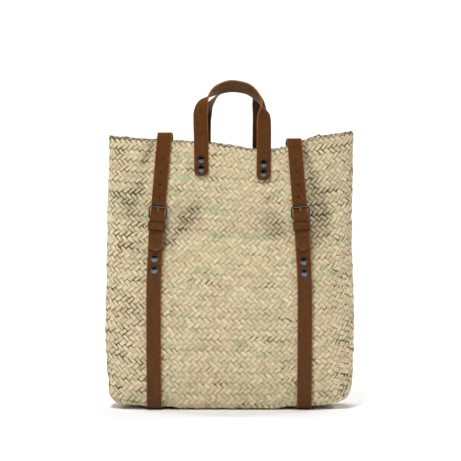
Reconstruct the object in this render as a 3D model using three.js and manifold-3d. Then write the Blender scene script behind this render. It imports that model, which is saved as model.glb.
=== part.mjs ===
// A woven straw backpack: a soft basket that stands on its base, two leather belts that go right round it
// as shoulder straps, their buckles, and two carrying handles riveted to the rim.
// Millimetres, +Z up. The origin is on the floor under the middle of the base, and the front faces -Y.
import * as THREE from "three";
import { mergeVertices } from "three/addons/utils/BufferGeometryUtils.js";
import Module from "manifold-3d";

// Basket
const bagWidth = 380; // across the front
const bagDepth = 100; // front to back, just above the base
const bagHeight = 423; // floor to the highest corner of the rim
const wall = 3; // two layers of leaf, plaited
const edgeRadius = 14; // bottom edge along the front and back
const leftCornerRadius = 20; // bottom corners, seen from the front
const rightCornerRadius = 34;
const dentDepth = 9; // the deepest dent

// Leather
const leather = 2.8;
const clearance = 0.3; // between pieces that touch
const strapWidth = 22;
const strapLift = 7; // slack of the looser strap, between the rim and its fold
const foldRadius = 6; // of that fold
const foldReach = 25; // from the middle of the mouth to the fold
const shoulderBow = 46; // how far the shoulder strap stands off the back
const strapTopOffset = 98; // from the bag's middle to a strap's centre line, at the rim
const strapBottomOffset = 113; // and at the base
const strapShift = -2; // both straps sit a little to the left

// Fastening, measured down a strap from the far bar of its buckle
const buckleDrop = 116.5; // below the highest corner of the rim
const buckleLength = 18.5; // from bar to bar
const buckleWire = 2.6;
const buckleSideGap = 0.8; // beside the strap
const tongueWire = 2.2;
const tonguePast = 2.2; // how far the tongue reaches past the far bar
const keeperGap = 0.5; // between the tongue's hook and the keeper
const keeperHeight = 13.5;
const keeperLeather = 1.6;
const keeperSideGap = 0.4;
const billetLength = 65; // to the strap's tip
const foldPastRivet = 12; // from the lower rivet down to the folded end
const layersJoin = 14; // length over which one layer comes down on the next
const holeDiameter = 3.6;
const holePitch = 19;
const holeCount = 4; // that show above the buckle
const firstHole = 15; // from the far bar up to the first hole

// Rivets
const capDiameter = 12;
const capHeight = 2.6;
const shankDiameter = 4;
const backCapDiameter = 9;
const backCapHeight = 1.2;
const shankReach = 16; // depth of the holes for the shanks
const strapRivetPitch = 17.2;
const handleRivetPitch = 14.5;
const handleRivetFromEnd = 10.5;

// Handles
const handleWidth = 22;
const handleSpan = 96; // between the legs' centre lines
const handleHang = 76; // the legs' ends below the highest corner of the rim
const handleRise = 69; // the middle of the arch above that corner
const handleLean = 12; // how far the arch leans in over the mouth

// Mesh fineness
const columns = 60;
const wallRows = 16;
const edgeRows = 4;
const handleStations = 42;
const beltStep = 20;
const beltRows = 10;
const roundSides = 8;
const wireSides = 6;

// Half of the basket at heights up its wall, as shares of half its width and depth. square is the exponent
// of the outline: 2 is an oval, and more is squarer.
const sections = [
  { level: 0.0, left: 0.985, right: 0.985, depth: 0.96, square: 5.0 },
  { level: 0.1, left: 0.997, right: 0.992, depth: 1.0, square: 5.0 },
  { level: 0.25, left: 1.012, right: 1.0, depth: 0.99, square: 4.6 },
  { level: 0.45, left: 1.004, right: 0.988, depth: 0.94, square: 4.2 },
  { level: 0.65, left: 1.0, right: 0.984, depth: 0.85, square: 3.8 },
  { level: 0.82, left: 0.994, right: 0.992, depth: 0.73, square: 3.4 },
  { level: 1.0, left: 0.984, right: 1.004, depth: 0.57, square: 3.0 },
];

// Height of the rim across the bag, as shares of half its width and of its height.
const rimLine = [
  { across: -1.0, front: 0.983, back: 0.985 },
  { across: -0.65, front: 0.97, back: 0.974 },
  { across: -0.3, front: 0.963, back: 0.962 },
  { across: 0.0, front: 0.948, back: 0.946 },
  { across: 0.27, front: 0.932, back: 0.932 },
  { across: 0.42, front: 0.941, back: 0.942 },
  { across: 0.575, front: 0.963, back: 0.966 },
  { across: 0.67, front: 0.972, back: 0.985 },
  { across: 0.8, front: 0.982, back: 0.994 },
  { across: 1.0, front: 1.0, back: 1.0 },
];

// Height of the base above the floor across the bag, in shares of the room that a strap needs under it.
const baseLine = [
  { across: -1.0, rise: 2.2 },
  { across: -0.75, rise: 1.5 },
  { across: -0.68, rise: 1.0 },
  { across: -0.5, rise: 1.0 },
  { across: -0.4, rise: 0.0 },
  { across: 0.4, rise: 0.0 },
  { across: 0.5, rise: 1.0 },
  { across: 0.68, rise: 1.0 },
  { across: 0.75, rise: 1.2 },
  { across: 1.0, rise: 2.2 },
];

// Dents (inward) and bulges (outward) of the two faces. Places and spreads are shares of half the width and
// of the height, depth is a share of the deepest dent, and turn leans a long dent over, in degrees.
const dents = [
  { face: -1, across: -0.32, up: 0.7, depth: 0.75, wide: 0.07, tall: 0.075, turn: -38 },
  { face: -1, across: -0.44, up: 0.785, depth: -0.5, wide: 0.1, tall: 0.06, turn: 0 },
  { face: -1, across: -0.79, up: 0.72, depth: 0.6, wide: 0.1, tall: 0.06, turn: 10 },
  { face: -1, across: -0.7, up: 0.84, depth: 0.4, wide: 0.08, tall: 0.05, turn: -20 },
  { face: -1, across: 0.38, up: 0.65, depth: 0.6, wide: 0.08, tall: 0.07, turn: 35 },
  { face: -1, across: 0.7, up: 0.68, depth: 1.0, wide: 0.08, tall: 0.06, turn: 0 },
  { face: -1, across: 0.66, up: 0.8, depth: 0.6, wide: 0.06, tall: 0.12, turn: 6 },
  { face: -1, across: 0.0, up: 0.63, depth: 0.55, wide: 0.3, tall: 0.05, turn: 0 },
  { face: -1, across: -0.02, up: 0.38, depth: -0.6, wide: 0.38, tall: 0.17, turn: 0 },
  { face: 1, across: -0.3, up: 0.62, depth: 0.6, wide: 0.14, tall: 0.08, turn: 30 },
  { face: 1, across: 0.35, up: 0.7, depth: 0.7, wide: 0.12, tall: 0.08, turn: -25 },
  { face: 1, across: 0.05, up: 0.35, depth: -0.5, wide: 0.4, tall: 0.16, turn: 0 },
];

// Centre line of a strap up the front, as shares of the bag's height and of the way from the bottom offset
// to the top offset.
const strapLine = [
  { up: 0.0, inward: 0.0 },
  { up: 0.4, inward: -0.06 },
  { up: 0.57, inward: 0.1 },
  { up: 0.73, inward: 0.42 },
  { up: 1.0, inward: 1.0 },
];

// The two straps, seen from the front: the slack above the rim in shares of the strap lift, and the upper
// rivet below the far bar in shares of the billet's length.
const straps = [
  { name: "left", side: -1, slack: 1.0, rivetDrop: 1.2 },
  { name: "right", side: 1, slack: 0.2, rivetDrop: 1.27 },
];

// Routes of the handles from the left leg's end to the right's: across in shares of the span, up in shares
// of the way from the legs' ends to the middle of the arch, and roll in degrees, where -90 shows the outer
// side of the leather to the front or back, and 0 lies flat round the arch.
const frontRoute = [
  { along: 0.0, across: -0.46, up: 0.045, roll: -90 },
  { along: 0.152, across: -0.466, up: 0.4, roll: -90 },
  { along: 0.271, across: -0.478, up: 0.68, roll: -88 },
  { along: 0.327, across: -0.44, up: 0.81, roll: -50 },
  { along: 0.373, across: -0.345, up: 0.895, roll: 0 },
  { along: 0.426, across: -0.19, up: 0.965, roll: 34 },
  { along: 0.487, across: 0.02, up: 1.0, roll: 48 },
  { along: 0.547, across: 0.23, up: 0.98, roll: 42 },
  { along: 0.605, across: 0.4, up: 0.905, roll: 26 },
  { along: 0.658, across: 0.5, up: 0.8, roll: 0 },
  { along: 0.714, across: 0.532, up: 0.67, roll: -65 },
  { along: 0.774, across: 0.532, up: 0.53, roll: -90 },
  { along: 1.0, across: 0.522, up: 0.0, roll: -90 },
];
const backRoute = [
  { along: 0.0, across: -0.43, up: 0.02, roll: -90 },
  { along: 0.15, across: -0.435, up: 0.37, roll: -90 },
  { along: 0.274, across: -0.43, up: 0.66, roll: -82 },
  { along: 0.336, across: -0.36, up: 0.8, roll: -30 },
  { along: 0.376, across: -0.281, up: 0.876, roll: -8 },
  { along: 0.416, across: -0.182, up: 0.945, roll: 8 },
  { along: 0.504, across: 0.094, up: 1.04, roll: 34 },
  { along: 0.547, across: 0.24, up: 1.025, roll: 28 },
  { along: 0.587, across: 0.355, up: 0.972, roll: 5 },
  { along: 0.64, across: 0.448, up: 0.862, roll: -50 },
  { along: 0.7, across: 0.475, up: 0.717, roll: -86 },
  { along: 0.767, across: 0.473, up: 0.565, roll: -90 },
  { along: 1.0, across: 0.465, up: 0.02, roll: -90 },
];
const handles = [
  { name: "front", face: -1, route: frontRoute },
  { name: "back", face: 1, route: backRoute },
];

// How a rounded end narrows: distance from the end and width, in shares of the strap's width.
const legEnd = [
  { back: 0.0, width: 0.36 },
  { back: 0.06, width: 0.68 },
  { back: 0.17, width: 0.9 },
  { back: 0.35, width: 1.0 },
];
const strapTip = [
  { back: 0.0, width: 0.3 },
  { back: 0.12, width: 0.7 },
  { back: 0.3, width: 0.93 },
  { back: 0.5, width: 1.0 },
];

// Values that follow from the sizes
const halfWidth = bagWidth / 2;
const halfDepth = bagDepth / 2;
const strapRoom = leather + clearance;
const firstLayer = clearance + leather / 2;
const secondLayer = firstLayer + strapRoom;
const wrapRadius = buckleWire / 2 + clearance + leather / 2;
const barOffset = firstLayer + wrapRadius;
const secondAtBar = barOffset + wrapRadius;
const farBarHeight = bagHeight - buckleDrop;
const nearBarHeight = farBarHeight - buckleLength;
const hookReach = buckleWire / 2 + clearance + tongueWire;
const keeperBottom = nearBarHeight - hookReach - keeperGap - keeperHeight;
const billetTipHeight = farBarHeight - billetLength;
const legFoot = bagHeight - handleHang;
const archHeight = bagHeight + handleRise;

const straw = new THREE.MeshStandardMaterial({ color: 0xcfc09b, roughness: 0.75, metalness: 0 });
const hide = new THREE.MeshStandardMaterial({ color: 0x5f3e28, roughness: 0.55, metalness: 0 });
const steel = new THREE.MeshStandardMaterial({ color: 0x8d8c92, roughness: 0.3, metalness: 1 });

const wasm = await Module();
wasm.setup();

const { lerp: mix, degToRad: radians, clamp, smoothstep } = THREE.MathUtils;

// One column of a table at any place between its rows, on a smooth curve that doesn't overshoot.
function readTable(rows, key, column, at) {
  const rise = (k) => (rows[k + 1][column] - rows[k][column]) / (rows[k + 1][key] - rows[k][key]);
  const slope = (k) => {
    if (k === 0) return rise(0);
    if (k === rows.length - 1) return rise(k - 1);
    const [before, after] = [rise(k - 1), rise(k)];
    return before * after > 0 ? (2 * before * after) / (before + after) : 0;
  };
  const inside = clamp(at, rows[0][key], rows[rows.length - 1][key]);
  const above = rows.findIndex((row) => row[key] > inside);
  const i = above < 0 ? rows.length - 2 : above - 1;
  const step = rows[i + 1][key] - rows[i][key];
  const t = (inside - rows[i][key]) / step;
  const straight = mix(rows[i][column], rows[i + 1][column], t * t * (3 - 2 * t));
  return straight + step * t * (1 - t) * (slope(i) * (1 - t) - slope(i + 1) * t);
}

// The outline of the basket at a share of its wall's height, drawn in by an inset.
function sectionAt(level, inset) {
  const read = (column) => readTable(sections, "level", column, level);
  return {
    left: halfWidth * read("left") - inset,
    right: halfWidth * read("right") - inset,
    depth: halfDepth * read("depth") - inset,
    square: read("square"),
  };
}

// Points round an outline at equal steps, from the left end along the front.
function outlinePoints(section, count) {
  const fine = 8 * count;
  const dense = [];
  for (let i = 0; i <= fine; i++) {
    const angle = (2 * Math.PI * i) / fine;
    const [c, s] = [Math.cos(angle), Math.sin(angle)];
    const reach = c > 0 ? section.left : section.right;
    const x = -reach * Math.sign(c) * Math.abs(c) ** (2 / section.square);
    const y = -section.depth * Math.sign(s) * Math.abs(s) ** (2 / section.square);
    dense.push(new THREE.Vector2(x, y));
  }
  const path = [0];
  for (let i = 1; i <= fine; i++) path.push(path[i - 1] + dense[i].distanceTo(dense[i - 1]));
  const points = [];
  let k = 0;
  for (let i = 0; i < count; i++) {
    const want = (path[fine] * i) / count;
    while (path[k + 1] < want) k++;
    const t = (want - path[k]) / (path[k + 1] - path[k]);
    points.push(dense[k].clone().lerp(dense[k + 1], t));
  }
  return points;
}

const acrossShare = (x) => clamp(x / halfWidth, -1, 1);
const baseHeight = (x) => strapRoom * readTable(baseLine, "across", "rise", acrossShare(x));

// The rim's height, where side runs from -1 on the front face to 1 on the back.
function rimHeight(x, side) {
  const front = readTable(rimLine, "across", "front", acrossShare(x));
  const back = readTable(rimLine, "across", "back", acrossShare(x));
  return bagHeight * mix(front, back, (side + 1) / 2);
}

// Radius of the bottom edge, which grows towards the two bottom corners.
function edgeRadiusAt(x) {
  const corner = x < 0 ? leftCornerRadius : rightCornerRadius;
  return mix(edgeRadius, corner, smoothstep(Math.abs(x) / halfWidth, 0.8, 0.99));
}

// How far the dents push a face inward at a place.
function dentAt(face, x, z) {
  let total = 0;
  for (const dent of dents.filter((row) => row.face === face)) {
    const across = x - dent.across * halfWidth;
    const up = z - dent.up * bagHeight;
    const turn = radians(dent.turn);
    const a = (across * Math.cos(turn) + up * Math.sin(turn)) / (dent.wide * halfWidth);
    const b = (up * Math.cos(turn) - across * Math.sin(turn)) / (dent.tall * bagHeight);
    total += dentDepth * dent.depth * Math.exp(-(a * a + b * b) / 2);
  }
  return total;
}

// A point of the wall, pressed in by the dents, which fade out towards the ends of the outline.
function pressed(x, y, z, depth) {
  const side = clamp(y / depth, -1, 1);
  const face = side < 0 ? -1 : 1;
  return new THREE.Vector3(x, y - face * smoothstep(Math.abs(side), 0.2, 0.9) * dentAt(face, x, z), z);
}

// A ring of the wall at a share of its height.
function wallRing(level, inset) {
  const section = sectionAt(level, inset);
  return outlinePoints(section, columns).map((p) => {
    const foot = baseHeight(p.x) + edgeRadiusAt(p.x);
    const z = mix(foot, rimHeight(p.x, p.y / section.depth), level);
    return pressed(p.x, p.y, z, section.depth);
  });
}

// A ring of the rounded bottom edge: turn 0 is its lower end, and 90 its upper end.
function edgeRing(turn, inset) {
  const section = sectionAt(0, inset);
  const [away, rise] = [1 - Math.sin(radians(turn)), 1 - Math.cos(radians(turn))];
  return outlinePoints(section, columns).map((p) => {
    const [corner, reach] = p.x < 0 ? [leftCornerRadius, section.left] : [rightCornerRadius, section.right];
    const x = p.x * (1 - ((corner - inset) * away) / reach);
    const y = p.y * (1 - ((edgeRadius - inset) * away) / section.depth);
    return new THREE.Vector3(x, y, baseHeight(p.x) + inset + (edgeRadiusAt(p.x) - inset) * rise);
  });
}

function surface(places, faces) {
  const geometry = new THREE.BufferGeometry();
  const values = places.flatMap((p) => p.toArray());
  geometry.setAttribute("position", new THREE.Float32BufferAttribute(values, 3));
  geometry.setIndex(faces.flat());
  return geometry;
}

// Faces between rings of points that turn anticlockwise about the way from each ring to the next.
function bands(rings, closed) {
  const count = rings[0].length;
  const faces = [];
  for (let r = 0; r < rings.length - (closed ? 0 : 1); r++) {
    const [from, to] = [r * count, ((r + 1) % rings.length) * count];
    for (let k = 0; k < count; k++) {
      const next = (k + 1) % count;
      faces.push([from + k, from + next, to + next], [from + k, to + next, to + k]);
    }
  }
  return faces;
}

// A bar through rings, with its ends closed.
function bar(rings) {
  const faces = bands(rings, false);
  const last = (rings.length - 1) * rings[0].length;
  for (let k = 1; k < rings[0].length - 1; k++) faces.push([0, k + 1, k], [last, last + k, last + k + 1]);
  return surface(rings.flat(), faces);
}

// A hoop through rings, whose last ring joins the first.
function hoop(rings) {
  return surface(rings.flat(), bands(rings, true));
}

// A shell through level rings. Its first and last rings are closed across, from each point to its mirror
// image on the other face.
function shell(rings) {
  const faces = bands(rings, false);
  const count = rings[0].length;
  const last = (rings.length - 1) * count;
  for (let k = 0; k < count / 2; k++) {
    const [across, nextAcross] = [(count - k) % count, count - k - 1];
    if (k !== across) {
      faces.push([k, across, nextAcross], [last + k, last + nextAcross, last + across]);
    }
    if (k + 1 !== nextAcross) {
      faces.push([k, nextAcross, k + 1], [last + k, last + k + 1, last + nextAcross]);
    }
  }
  return surface(rings.flat(), faces);
}

function toSolid(geometry) {
  const bare = geometry.clone();
  bare.deleteAttribute("normal");
  bare.deleteAttribute("uv");
  const merged = mergeVertices(bare, 1e-4);
  return new wasm.Manifold(
    new wasm.Mesh({
      numProp: 3,
      vertProperties: merged.attributes.position.array,
      triVerts: new Uint32Array(merged.index.array),
    }),
  );
}

// A geometry with tools cut out of it.
function cut(geometry, tools) {
  const solid = tools.reduce((left, tool) => left.subtract(toSolid(tool)), toSolid(geometry));
  const mesh = solid.getMesh();
  const result = new THREE.BufferGeometry();
  result.setAttribute("position", new THREE.BufferAttribute(mesh.vertProperties, 3));
  result.setIndex(new THREE.BufferAttribute(mesh.triVerts, 1));
  result.computeVertexNormals();
  return result;
}

// A round pin with its middle at a place and its length along a direction.
function pin(diameter, length, sides, place, direction) {
  const geometry = new THREE.CylinderGeometry(diameter / 2, diameter / 2, length, sides);
  const turn = new THREE.Quaternion().setFromUnitVectors(new THREE.Vector3(0, 1, 0), direction);
  geometry.applyQuaternion(turn);
  return geometry.translate(place.x, place.y, place.z);
}

// Rings of wire round a flat path, whose plane has the given normal.
function wireRings(path, normal, diameter, closed) {
  const count = path.length;
  return path.map((place, i) => {
    const before = path[closed ? (i + count - 1) % count : Math.max(i - 1, 0)];
    const after = path[closed ? (i + 1) % count : Math.min(i + 1, count - 1)];
    const side = new THREE.Vector3().subVectors(after, before).normalize().cross(normal);
    return Array.from({ length: wireSides }, (_, k) => {
      const angle = (2 * Math.PI * k) / wireSides;
      return place
        .clone()
        .addScaledVector(normal, (diameter / 2) * Math.cos(angle))
        .addScaledVector(side, (diameter / 2) * Math.sin(angle));
    });
  });
}

// Rings of a flat strip through its stations, each with a centre, an outer side and a share of the width.
function stripRings(stations, width) {
  return stations.map((station, i) => {
    const before = stations[Math.max(i - 1, 0)].place;
    const after = stations[Math.min(i + 1, stations.length - 1)].place;
    const along = after.clone().sub(before).normalize();
    const out = station.out.clone().addScaledVector(along, -station.out.dot(along)).normalize();
    const across = new THREE.Vector3().crossVectors(along, out);
    const half = (width / 2) * (station.width ?? 1);
    return [[-1, 1], [1, 1], [1, -1], [-1, -1]].map(([a, b]) =>
      station.place.clone().addScaledVector(across, a * half).addScaledVector(out, (b * leather) / 2),
    );
  });
}

// Half the basket's depth at a place on a face, with its dents.
function faceDepth(face, x, z) {
  const [foot, radius] = [baseHeight(x), edgeRadiusAt(x)];
  const level = (z - foot - radius) / (rimHeight(x, face) - foot - radius);
  const section = sectionAt(Math.max(level, 0), 0);
  const share = Math.min(Math.abs(x) / (x < 0 ? section.left : section.right), 1);
  const depth = section.depth * (1 - share ** section.square) ** (1 / section.square);
  if (level >= 0) return depth - dentAt(face, x, z);
  const down = clamp(1 - (z - foot) / radius, 0, 1);
  return depth * (1 - (edgeRadius * (1 - Math.sqrt(1 - down * down))) / section.depth);
}

// The depth at which a flat strip of leather clears a face at a height.
function stripDepth(face, x, z, width) {
  return Math.max(...[-0.5, -0.25, 0, 0.25, 0.5].map((share) => faceDepth(face, x + share * width, z)));
}

// Corners of the convex outline round flat points, anticlockwise.
function convexOutline(points) {
  const sorted = [...points].sort((a, b) => a.x - b.x || a.y - b.y);
  const half = (list) => {
    const kept = [];
    for (const p of list) {
      while (kept.length > 1) {
        const [a, b] = kept.slice(-2);
        if ((b.x - a.x) * (p.y - a.y) - (b.y - a.y) * (p.x - a.x) > 1e-6) break;
        kept.pop();
      }
      kept.push(p);
    }
    return kept.slice(0, -1);
  };
  return [...half(sorted), ...half(sorted.reverse())];
}

// The same outline with its long sides in steps.
function stepped(outline, step) {
  return outline.flatMap((from, i) => {
    const to = outline[(i + 1) % outline.length];
    const count = Math.ceil(from.distanceTo(to) / step);
    return Array.from({ length: count }, (_, k) => from.clone().lerp(to, k / count));
  });
}

function strapX(strap, z) {
  const inward = readTable(strapLine, "up", "inward", z / bagHeight);
  return strapShift + strap.side * mix(strapBottomOffset, strapTopOffset, inward);
}

// The tight line of a strap round the basket, seen from the side: x is the bag's y, and y its height. It
// starts at the top of the front and runs down it.
function beltOutline(strap) {
  const points = [];
  const edges = [-0.5, 0, 0.5].map((share) => strapX(strap, bagHeight) + share * strapWidth);
  const rim = Math.max(...edges.flatMap((x) => [rimHeight(x, -1), rimHeight(x, 1)]));
  const foldTop = rim + strap.slack * strapLift;
  const foot = baseHeight(strapX(strap, 0));
  for (const face of [-1, 1]) {
    const touch = (z) => {
      points.push(new THREE.Vector2(face * stripDepth(face, strapX(strap, z), z, strapWidth), z));
    };
    for (let turn = 0; turn < 90; turn += 15) touch(foot + edgeRadius * (1 - Math.cos(radians(turn))));
    for (let row = 0; row <= beltRows; row++) touch(mix(foot + edgeRadius, rim, row / beltRows));
    for (let turn = 0; turn <= 90; turn += 22.5) {
      const out = foldReach - foldRadius * (1 - Math.cos(radians(turn)));
      points.push(new THREE.Vector2(face * out, foldTop - foldRadius * (1 - Math.sin(radians(turn)))));
    }
  }
  const outline = stepped(convexOutline(points), beltStep);
  const top = Math.max(...outline.filter((p) => p.x < 0).map((p) => p.y));
  const start = outline.findIndex((p) => p.x < 0 && p.y === top && p.x === -(foldReach - foldRadius));
  return [...outline.slice(start), ...outline.slice(0, start)];
}

// The middle of a strap's place on the front of the basket at a height.
function frontPlace(strap, z) {
  const i = strap.outline.findIndex((p, k) => k > 0 && p.y < z);
  const [above, below] = [strap.outline[i - 1], strap.outline[i]];
  const y = mix(below.x, above.x, (z - below.y) / (above.y - below.y));
  return new THREE.Vector3(strapX(strap, z), y, z);
}

// That place with its directions: up along the strap, out from the basket, and across to the right.
function frontFrame(strap, z) {
  const centre = frontPlace(strap, z);
  const reach = strapWidth / 2;
  const up = frontPlace(strap, z + reach).sub(frontPlace(strap, z - reach)).normalize();
  const out = new THREE.Vector3(0, -up.z, up.y).normalize();
  return { centre, up, out, across: new THREE.Vector3().crossVectors(up, out) };
}

// A station of a strap: its centre above the basket, and the outer side of the leather there.
function layer(strap, z, offset) {
  const { centre, out } = frontFrame(strap, z);
  return { place: centre.addScaledVector(out, offset), out };
}

// How far the lower strap's centre stands above the basket, where it lies on its own folded end.
function secondOffset(strap, z) {
  const rows = [
    { height: strap.foldEnd - layersJoin, offset: firstLayer },
    { height: strap.foldEnd - clearance, offset: secondLayer },
    { height: strap.rivetHeight + capDiameter, offset: secondLayer },
    { height: keeperBottom, offset: secondAtBar },
    { height: nearBarHeight, offset: secondAtBar },
  ];
  const at = clamp(z, rows[0].height, nearBarHeight);
  const i = Math.max(rows.findIndex((row) => row.height >= at), 1);
  const [below, above] = [rows[i - 1], rows[i]];
  return mix(below.offset, above.offset, (at - below.height) / (above.height - below.height));
}

// A station on a circle round one of a buckle's bars. Turn 0 faces the basket, 90 is up and 180 outward,
// and the outer side of the leather faces away from the bar, or with side -1 towards it.
function roundBar(strap, barHeight, radius, turn, side) {
  const frame = frontFrame(strap, barHeight);
  const away = frame.out.clone().multiplyScalar(-Math.cos(radians(turn)));
  away.addScaledVector(frame.up, Math.sin(radians(turn)));
  const place = frame.centre.addScaledVector(frame.out, barOffset).addScaledVector(away, radius);
  return { place, out: away.multiplyScalar(side) };
}

// The folded end behind the lower strap, the fold round the near bar, and the lower strap down to the join.
function lowerEnd(strap) {
  const stations = [];
  const betweenRivets = strap.rivetHeight - strapRivetPitch / 2;
  for (const z of [strap.foldEnd, betweenRivets, keeperBottom, nearBarHeight - clearance]) {
    const { place, out } = layer(strap, z, firstLayer);
    stations.push({ place, out: out.negate() });
  }
  for (let turn = 0; turn <= 180; turn += 30) {
    stations.push(roundBar(strap, nearBarHeight, wrapRadius, turn, 1));
  }
  const marks = [
    keeperBottom,
    strap.rivetHeight + capDiameter,
    betweenRivets,
    strap.foldEnd - clearance,
    strap.foldEnd - layersJoin,
  ];
  for (const z of marks) stations.push(layer(strap, z, secondOffset(strap, z)));
  return stations;
}

// The belt's run down the front from the join, under the base, up the back in a bow, over the rims and down
// the front again to the buckle.
function beltRun(strap) {
  const { outline } = strap;
  const low = baseHeight(strapX(strap, 0)) + edgeRadius;
  const high = rimHeight(strapX(strap, bagHeight), 1);
  const stations = outline.map((at, i) => {
    const before = outline.at(i - 1);
    const after = outline[(i + 1) % outline.length];
    const out = new THREE.Vector2(after.y - before.y, before.x - after.x).normalize();
    const share = clamp((at.y - low) / (high - low), 0, 1);
    const bow = at.x > 0 ? shoulderBow * Math.sin(Math.PI * share) ** 1.5 : 0;
    const y = at.x + out.x * firstLayer + bow;
    const place = new THREE.Vector3(strapX(strap, at.y), y, at.y + out.y * firstLayer);
    return { place, out: new THREE.Vector3(0, out.x, out.y), front: at.x < 0, height: at.y };
  });
  const belowJoin = strap.foldEnd - layersJoin - beltStep / 2;
  const aboveBuckle = farBarHeight + beltStep;
  const round = stations.filter((s) => !s.front || s.height < belowJoin);
  const down = stations.filter((s) => s.front && s.height > aboveBuckle);
  return [...round, ...down];
}

// The upper end: behind the far bar, across and over the fold, and down on the lower strap to its tip.
function upperEnd(strap) {
  const overFold = wrapRadius + strapRoom;
  const lean = THREE.MathUtils.radToDeg(Math.asin((wrapRadius + overFold) / buckleLength));
  const stations = [layer(strap, farBarHeight + wrapRadius, firstLayer)];
  for (const share of [0, 0.5, 1]) {
    stations.push(roundBar(strap, farBarHeight, wrapRadius, -lean * share, -1));
  }
  for (const share of [1, 0.5, 0]) {
    stations.push(roundBar(strap, nearBarHeight, overFold, 180 - lean * share, 1));
  }
  stations.push(layer(strap, keeperBottom, secondAtBar + strapRoom));
  for (const row of [...strapTip].reverse()) {
    const z = billetTipHeight + row.back * strapWidth;
    stations.push({ ...layer(strap, z, secondOffset(strap, z) + strapRoom), width: row.width });
  }
  return stations;
}

// Places of a strap's two rivets, on the outer side of its lower part.
function strapRivets(strap) {
  return [strap.rivetHeight, strap.rivetHeight - strapRivetPitch].map((z) =>
    layer(strap, z, secondOffset(strap, z) + leather / 2),
  );
}

function strapGeometry(strap) {
  const rings = stripRings([...lowerEnd(strap), ...beltRun(strap), ...upperEnd(strap)], strapWidth);
  const nearBar = frontFrame(strap, nearBarHeight);
  const barPlace = nearBar.centre.addScaledVector(nearBar.out, barOffset);
  const slotSize = 2 * (wrapRadius + leather / 2 + clearance / 2);
  const tools = strapRivets(strap).map(shankHole);
  tools.push(pin(slotSize, tongueWire + 4 * clearance, 2 * roundSides, barPlace, nearBar.across));
  tools.push(onFront(tongueGeometry(tongueWire + 2 * clearance), strap, nearBarHeight));
  for (let i = 0; i < holeCount; i++) {
    const { place, out } = layer(strap, farBarHeight + firstHole + i * holePitch, firstLayer);
    tools.push(pin(holeDiameter, 2 * leather, roundSides, place, out));
  }
  return cut(bar(rings), tools);
}

function shankHole({ place, out }) {
  return pin(shankDiameter + 2 * clearance, 2 * shankReach, roundSides, place, out);
}

// The matrix of a piece on a strap's front at a height: its x runs across, its y into the bag and its z up.
function frontMatrix(strap, z) {
  const { centre, up, out, across } = frontFrame(strap, z);
  return new THREE.Matrix4().makeBasis(across, out.clone().negate(), up).setPosition(centre);
}

function onFront(geometry, strap, z) {
  return geometry.applyMatrix4(frontMatrix(strap, z));
}

// A rectangular wire frame with rounded corners, about the middle between its bars.
function buckleGeometry() {
  const half = strapWidth / 2 + buckleSideGap + buckleWire / 2;
  const corner = buckleWire;
  const path = [];
  for (const [sx, sz, start] of [[1, 1, 0], [-1, 1, 90], [-1, -1, 180], [1, -1, 270]]) {
    for (let turn = start; turn <= start + 90; turn += 22.5) {
      const x = sx * (half - corner) + corner * Math.cos(radians(turn));
      const z = sz * (buckleLength / 2 - corner) + corner * Math.sin(radians(turn));
      path.push(new THREE.Vector3(x, -barOffset, z));
    }
  }
  return hoop(wireRings(path, new THREE.Vector3(0, 1, 0), buckleWire, true));
}

// A pin of wire, hooked round the near bar, that rests on the far bar. Its origin is on the basket, behind
// the near bar.
function tongueGeometry(diameter) {
  const radius = hookReach - tongueWire / 2;
  const lean = THREE.MathUtils.radToDeg(Math.asin((2 * radius) / buckleLength));
  const round = (turn) =>
    new THREE.Vector3(0, radius * Math.cos(radians(turn)) - barOffset, radius * Math.sin(radians(turn)));
  const path = Array.from({ length: 7 }, (_, i) => round(mix(200, 360 + lean, i / 6)));
  const along = new THREE.Vector3(0, -Math.sin(radians(lean)), Math.cos(radians(lean)));
  path.push(path.at(-1).clone().addScaledVector(along, buckleLength + tonguePast));
  return bar(wireRings(path, new THREE.Vector3(1, 0, 0), diameter, false));
}

// A leather loop round the lower strap and the strap end on it. Its origin is on the basket at its lower
// edge.
function keeperGeometry() {
  const outerFace = secondAtBar + strapRoom + leather / 2;
  const half = strapWidth / 2 + keeperSideGap;
  const inner = firstLayer + leather / 2 + clearance + keeperLeather;
  const box = (grow) => {
    const [x, near, far] = [half + grow, -(inner - grow), -(outerFace + clearance + grow)];
    const corner = grow + clearance;
    const path = new THREE.Path();
    path.moveTo(x, near - corner).lineTo(x, far + corner).quadraticCurveTo(x, far, x - corner, far);
    path.lineTo(-x + corner, far).quadraticCurveTo(-x, far, -x, far + corner);
    path.lineTo(-x, near - corner).quadraticCurveTo(-x, near, -x + corner, near);
    path.lineTo(x - corner, near).quadraticCurveTo(x, near, x, near - corner);
    return path.getPoints(3).slice(0, -1).reverse();
  };
  const shape = new THREE.Shape(box(keeperLeather));
  shape.holes.push(new THREE.Path(box(0)));
  return new THREE.ExtrudeGeometry(shape, { depth: keeperHeight, bevelEnabled: false });
}

// A pressed rivet: a domed cap, a shank through everything behind it, and a flat cap inside the bag.
function rivetGeometry(reach) {
  const [cap, shank, back] = [capDiameter / 2, shankDiameter / 2, backCapDiameter / 2];
  const profile = [
    [0, -reach - backCapHeight],
    [back, -reach - backCapHeight],
    [back, -reach],
    [shank, -reach],
    [shank, clearance],
    [cap, clearance],
    [cap, clearance + 0.3 * capHeight],
    [0.8 * cap, clearance + 0.72 * capHeight],
    [0.45 * cap, clearance + 0.94 * capHeight],
    [0, clearance + capHeight],
  ];
  return new THREE.LatheGeometry(profile.map(([r, y]) => new THREE.Vector2(r, y)), roundSides);
}

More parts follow.
